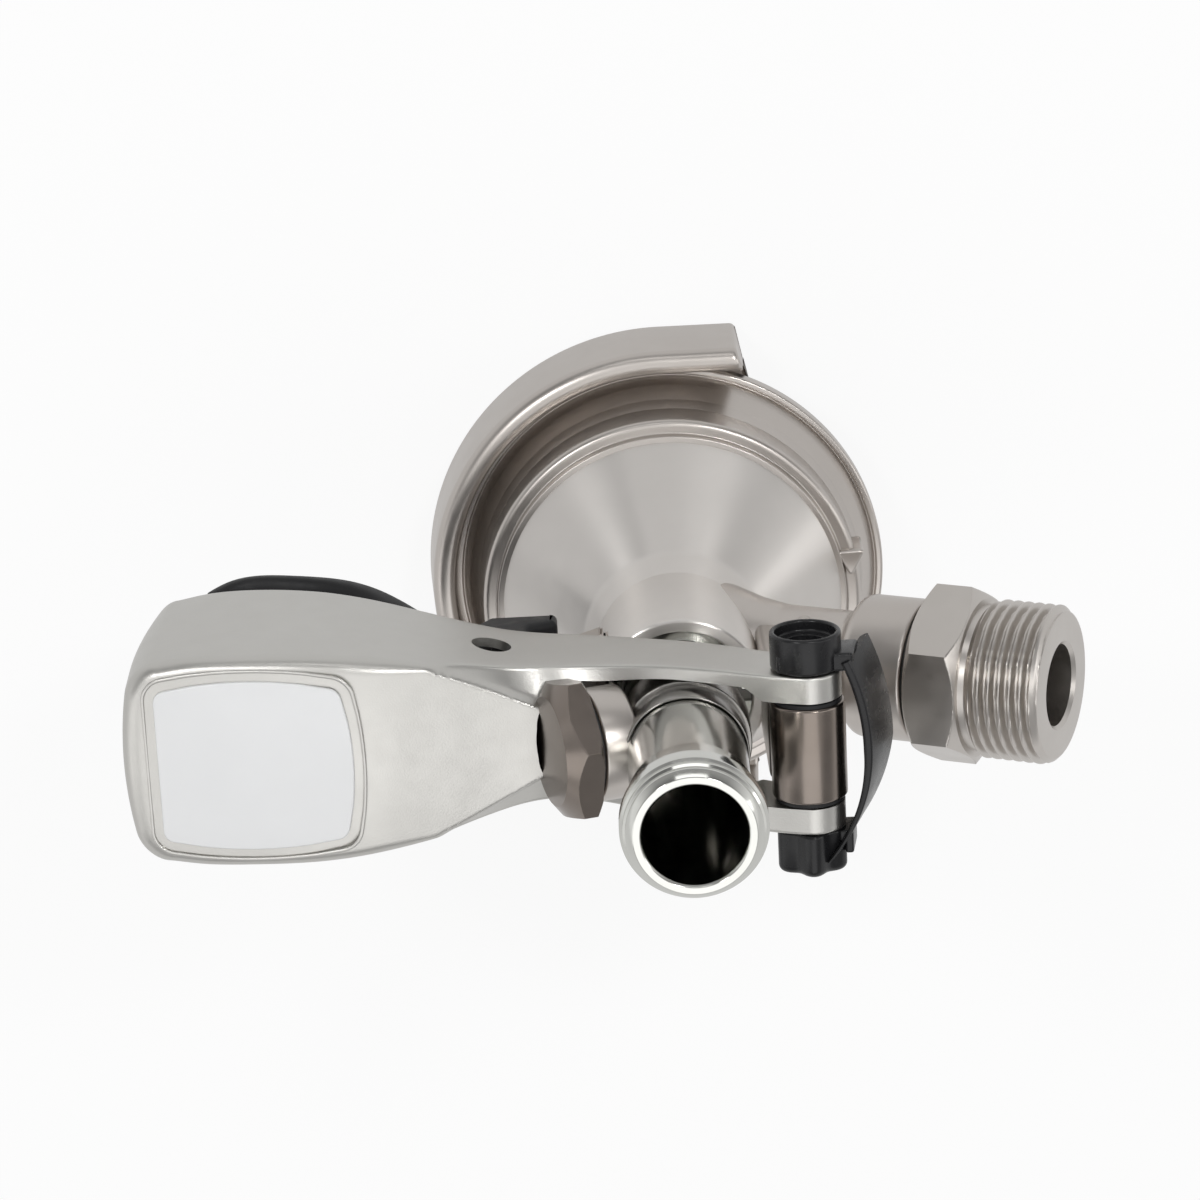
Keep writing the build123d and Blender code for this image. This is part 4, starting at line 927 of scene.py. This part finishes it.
def nipple():
    """Nipple's outside as radius by angle and distance: shank, chamfered hexagon, relief, and a helical thread.

    Thread radius = root + depth * tooth(distance / pitch - angle / 2 pi), with a rounded triangular tooth.
    """
    sides = 240
    angle = np.linspace(0, 2 * pi, sides, endpoint=False)
    rows, distance = [], []

    def add(t, radius):
        """One more ring of the outside, at a distance along the axis."""
        distance.append(t)
        rows.append(np.broadcast_to(radius, (sides,)).astype(float))

    add(37.6, 8.7)
    add(37.8, 8.9)
    add(46.38, 8.9)
    hexagon = six_sided(NIPPLE_ACROSS_FLATS, sides, 0.0)
    start, end = NIPPLE_HEX
    for t in np.concatenate([np.linspace(0, 1.6, 25), np.linspace(2.2, 7.0, 9), np.linspace(7.6, 9.2, 25)]):
        cone = 13.25 + np.minimum(t, end - start - t) * 1.55
        add(start + t, np.minimum(hexagon, cone))
    add(55.62, 12.2)
    add(56.6, 12.0)
    for t in np.arange(56.7, 69.25, THREAD_PITCH / 14):
        phase = (t / THREAD_PITCH - angle / (2 * pi)) % 1
        tooth = np.clip(1.5 * (1 - np.abs(2 * phase - 1)) - 0.25, 0, 1)
        tooth = tooth * tooth * (3 - 2 * tooth) * 0.5 + tooth * 0.5
        radius = THREAD_ROOT + THREAD_DEPTH * tooth
        ends = np.minimum(12.0 + (t - 56.6), 12.1 + (THREAD_END - t))
        add(t, np.minimum(radius, np.maximum(ends, 12.0)))
    add(THREAD_END - 0.02, THREAD_ROOT)
    add(THREAD_END, 11.9)
    radius = np.array(rows)
    outside_points, outside_faces = shaped(radius, np.array(distance), GAS_ROOT, GAS_AXIS)
    outside_faces = outside_faces[:-2]  # without the two flat ends
    bore_rows = [(37.6, GAS_BORE_R), (68.7, GAS_BORE_R), (THREAD_END, 7.4)]
    bore = np.array([np.full(sides, r) for _, r in bore_rows])
    bore_points, bore_faces = shaped(bore, np.array([t for t, _ in bore_rows]), GAS_ROOT, GAS_AXIS)
    bore_faces = bore_faces[:-2]
    points, faces = joined([(outside_points, outside_faces), (bore_points, bore_faces)])
    offset = len(outside_points)
    ring = np.arange(sides)
    follow = (ring + 1) % sides
    last_out, last_bore = (len(radius) - 1) * sides, offset + 2 * sides
    faces += np.stack([last_out + ring, last_out + follow, last_bore + follow, last_bore + ring], 1).tolist()
    faces += np.stack([ring, follow, offset + follow, offset + ring], 1).tolist()
    return points, faces


make("nipple_threaded", [nipple()], "body", worn_nickel, ["gas_nipple"], sharp=24)
seal_profile = rounded([(9.0, 45.4, 0.1), (11.6, 45.4, 0.3), (11.6, 46.4, 0.3), (9.0, 46.4, 0.1)])
make(
    "nipple_seal", [turned(seal_profile, GAS_ROOT, GAS_AXIS, 96)],
    "body", black_rubber, ["nipple_washer"],
)


PLUG_ACROSS_FLATS = 21.6
PLUG_TURN = radians(14)
PLUG_DEPTH = 5.6


def plug():
    """Side plug's hexagon with a wide chamfer on its outer end and a narrow one inside; depth runs inwards."""
    sides = 480
    hexagon = six_sided(PLUG_ACROSS_FLATS, sides, pi / 6 - PLUG_TURN)
    rows, depth = [], []
    levels = [[0.0], np.linspace(0.02, 2.9, 48), np.linspace(3.2, 4.5, 4), np.linspace(4.6, PLUG_DEPTH, 18)]
    for t in np.concatenate(levels):
        cone = np.minimum(8.9 + t * 1.35, 11.3 + (PLUG_DEPTH - t) * 1.6)
        rows.append(np.minimum(hexagon, cone) if t > 0 else np.full(sides, 8.8))
        depth.append(t)
    rows.append(np.full(sides, 5.0))
    depth.append(5.62)
    rows.append(np.full(sides, 5.0))
    depth.append(9.9)
    return shaped(np.array(rows), np.array(depth), PLUG_END, -PLUG_AXIS)


make("plug_hexagon", [plug()], "body", bronze_plate, ["side_plug"], sharp=24)

# Rings seen from below
for name, node, body, slot, material, corners in (
    ("keg_ring", "keg_seal", "body", "black_rubber", black_rubber,
     [(14.2, 6.2, 0.9), (21.4, 6.2, 0.9), (21.4, 11.8, 0.3), (14.2, 11.8, 0.3)]),
    ("probe_foot", "probe_head", "probe", "stainless", polished_steel,
     [(4.6, 1.2, 0.3), (8.8, 1.2, 0.6), (11.2, 3.6, 0.6), (11.2, 5.2, 0.2), (9.4, 5.2, 0), (9.4, 9.6, 0),
      (11.2, 9.6, 0.2), (11.2, 26.0, 0.3), (10.2, 27.0, 0.3), (9.61, 27.0, 0), (9.61, 18.0, 0), (8.09, 18.0, 0),
      (8.09, 8.49, 0.2), (4.6, 5.0, 0.2)]),
    ("probe_ring", "probe_seal", "probe", "black_rubber", black_rubber,
     [(9.45, 5.3, 0.2), (13.4, 5.3, 1.3), (13.4, 9.5, 1.3), (9.45, 9.5, 0.2)]),
):
    make(name, [turned(rounded(corners), sides=160)], body, material, [node])

hidden_finish = {
    "plug_washer": black_rubber, "gas_check": black_rubber, "neck_seal": black_rubber, "guide_bush": bush_plastic,
    "gas_insert": bush_plastic, "ball_cage": bush_plastic, "hinge_bushes": black_plastic, "check_ball": ball_plastic,
    # hinge_bushes are black rather than bush plastic: their ends are painted shade, the dark lines at the hinge boss's
    # ends.
    "neck_ring": polished_steel, "hinge_pin": polished_steel,
}
for node, material in hidden_finish.items():
    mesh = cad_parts[node].data
    mesh.materials.clear()
    mesh.materials.append(material)

# Floor, light and camera

FLOOR_HALF, FLOOR_Z = 4, -0.0003
FLOOR_GLOSS_LEVEL = 0.80
FLOOR_SHARE = 0.88
SKY_LEVEL = 0.5
BEHIND_FROM, BEHIND_TO, BEHIND_LEVEL = 0.25, 0.70, 0.45
BODY_AIM = (0, 0, 0.06)
CONE_AIM = (0, 0, 0.04)


def maths(holder, operation, first, second):
    """Output of a Math node in a material or world; the second value is an output or a number."""
    node = holder.node_tree.nodes.new("ShaderNodeMath")
    node.operation = operation
    holder.node_tree.links.new(first, node.inputs[0])
    if isinstance(second, float):
        node.inputs[1].default_value = second
    else:
        holder.node_tree.links.new(second, node.inputs[1])
    return node.outputs[0]


def is_camera_ray(holder):
    """1 for rays that come from the camera, else 0."""
    return holder.node_tree.nodes.new("ShaderNodeLightPath").outputs["Is Camera Ray"]


def background_share(holder):
    """1 for rays that come from the camera, from gloss or through glass, else 0."""
    path = holder.node_tree.nodes.new("ShaderNodeLightPath").outputs
    seen_or_glossy = maths(holder, "MAXIMUM", path["Is Camera Ray"], path["Is Glossy Ray"])
    return maths(holder, "MAXIMUM", seen_or_glossy, path["Is Transmission Ray"])


def blend_into_output(holder, kind, share, lit, seen):
    """Two shaders, one that is lit and one that is seen as background, mixed by a share into the output."""
    nodes, links = holder.node_tree.nodes, holder.node_tree.links
    mixer = nodes.new("ShaderNodeMixShader")
    links.new(share, mixer.inputs[0])
    links.new(lit.outputs[0], mixer.inputs[1])
    links.new(seen.outputs[0], mixer.inputs[2])
    links.new(mixer.outputs[0], nodes.new(kind).inputs[0])


floor_mesh = bpy.data.meshes.new("floor")
floor_corners = [(x * FLOOR_HALF, y * FLOOR_HALF, FLOOR_Z) for x, y in ((-1, -1), (1, -1), (1, 1), (-1, 1))]
floor_mesh.from_pydata(floor_corners, [], [(0, 1, 2, 3)])
floor = bpy.data.objects.new("floor", floor_mesh)
bpy.context.scene.collection.objects.link(floor)
floor_material = bpy.data.materials.new("floor")
floor_material.use_nodes = True
tree = floor_material.node_tree
tree.nodes.clear()
matte = tree.nodes.new("ShaderNodeBsdfDiffuse")
matte.inputs["Color"].default_value = (0.82, 0.82, 0.82, 1)
glow = tree.nodes.new("ShaderNodeEmission")
glow.inputs["Color"].default_value = (1, 1, 1, 1)
glow_level = spread(floor_material, is_camera_ray(floor_material), 0.0, 1.0, FLOOR_GLOSS_LEVEL, 1.0)
tree.links.new(glow_level, glow.inputs["Strength"])
floor_share = maths(floor_material, "MULTIPLY", background_share(floor_material), FLOOR_SHARE)
blend_into_output(floor_material, "ShaderNodeOutputMaterial", floor_share, matte, glow)
floor_mesh.materials.append(floor_material)

world = bpy.data.worlds.new("studio")
bpy.context.scene.world = world
world.use_nodes = True
tree = world.node_tree
tree.nodes.clear()
sky = tree.nodes.new("ShaderNodeBackground")
sky.inputs["Color"].default_value = (1, 1, 1, 1)
sky.inputs["Strength"].default_value = SKY_LEVEL
direction = tree.nodes.new("ShaderNodeTexCoord")
parts = tree.nodes.new("ShaderNodeSeparateXYZ")
tree.links.new(direction.outputs["Generated"], parts.inputs[0])
ramp = tree.nodes.new("ShaderNodeValToRGB")
ramp.color_ramp.interpolation = "EASE"
stops = ramp.color_ramp.elements
for position, level in ((0.0, 1.0), (0.12, 0.92), (0.34, 0.42), (0.62, 0.36), (0.84, 0.75), (1.0, 0.85)):
    stop = stops[0] if position == 0.0 else stops[-1] if position == 1.0 else stops.new(position)
    stop.position = position
    stop.color = (level, level, level, 1)
tree.links.new(parts.outputs["Z"], ramp.inputs[0])
behind = spread(world, parts.outputs["Y"], BEHIND_FROM, BEHIND_TO, 1.0, BEHIND_LEVEL)
dimmed = maths(world, "MULTIPLY", ramp.outputs[0], behind)
seen = tree.nodes.new("ShaderNodeBackground")
seen.inputs["Strength"].default_value = 1.0
tree.links.new(mix_colour(world, is_camera_ray(world), dimmed, (1, 1, 1)), seen.inputs["Color"])
blend_into_output(world, "ShaderNodeOutputWorld", background_share(world), sky, seen)


def soft_light(name, place, aim, size, power):
    """Square soft box at a place, turned towards an aim point, in metres and watts."""
    lamp = bpy.data.lights.new(name, "AREA")
    lamp.shape = "RECTANGLE"
    lamp.size, lamp.size_y = size
    lamp.energy = power
    light = bpy.data.objects.new(name, lamp)
    light.location = place
    light.rotation_euler = (Vector(aim) - Vector(place)).to_track_quat("-Z", "Y").to_euler()
    bpy.context.scene.collection.objects.link(light)


soft_light("top_box", (0.05, -0.34, 0.90), BODY_AIM, (0.80, 0.62), 1.25)
soft_light("left_box", (-0.75, -0.22, 0.60), BODY_AIM, (0.40, 0.70), 0.9)
soft_light("right_box", (0.75, 0.1, 0.50), BODY_AIM, (0.18, 0.70), 0.8)
soft_light("back_box", (0.0, 0.80, 0.45), BODY_AIM, (0.60, 0.20), 0.6)
soft_light("fan_left", (-0.42, 0.42, 0.80), CONE_AIM, (0.14, 0.14), 1.55)
soft_light("fan_right", (0.30, 0.45, 0.80), CONE_AIM, (0.14, 0.14), 1.65)

camera_data = bpy.data.cameras.new("camera")
camera_data.lens = 126.0
camera_data.sensor_width = 36.0
camera_data.clip_start = 0.01
camera_data.clip_end = 50.0
camera = bpy.data.objects.new("camera", camera_data)
bpy.context.scene.collection.objects.link(camera)
CAMERA_PITCH, CAMERA_YAW, CAMERA_ROLL = radians(18.3), radians(0.1), radians(-2.9)
CAMERA_PLACE = Vector((-0.011515, 0.233508, 0.729845))
back = Vector((sin(CAMERA_YAW) * cos(CAMERA_PITCH), sin(CAMERA_PITCH), cos(CAMERA_YAW) * cos(CAMERA_PITCH)))
level = Vector((0, 1, 0)).cross(back).normalized()
over = back.cross(level)
right = cos(CAMERA_ROLL) * level + sin(CAMERA_ROLL) * over
upward = -sin(CAMERA_ROLL) * level + cos(CAMERA_ROLL) * over
camera.matrix_world = Matrix((
    (right.x, upward.x, back.x, CAMERA_PLACE.x),
    (right.y, upward.y, back.y, CAMERA_PLACE.y),
    (right.z, upward.z, back.z, CAMERA_PLACE.z),
    (0, 0, 0, 1),
))
bpy.context.scene.camera = camera
bpy.context.scene.view_settings.view_transform = "Standard"
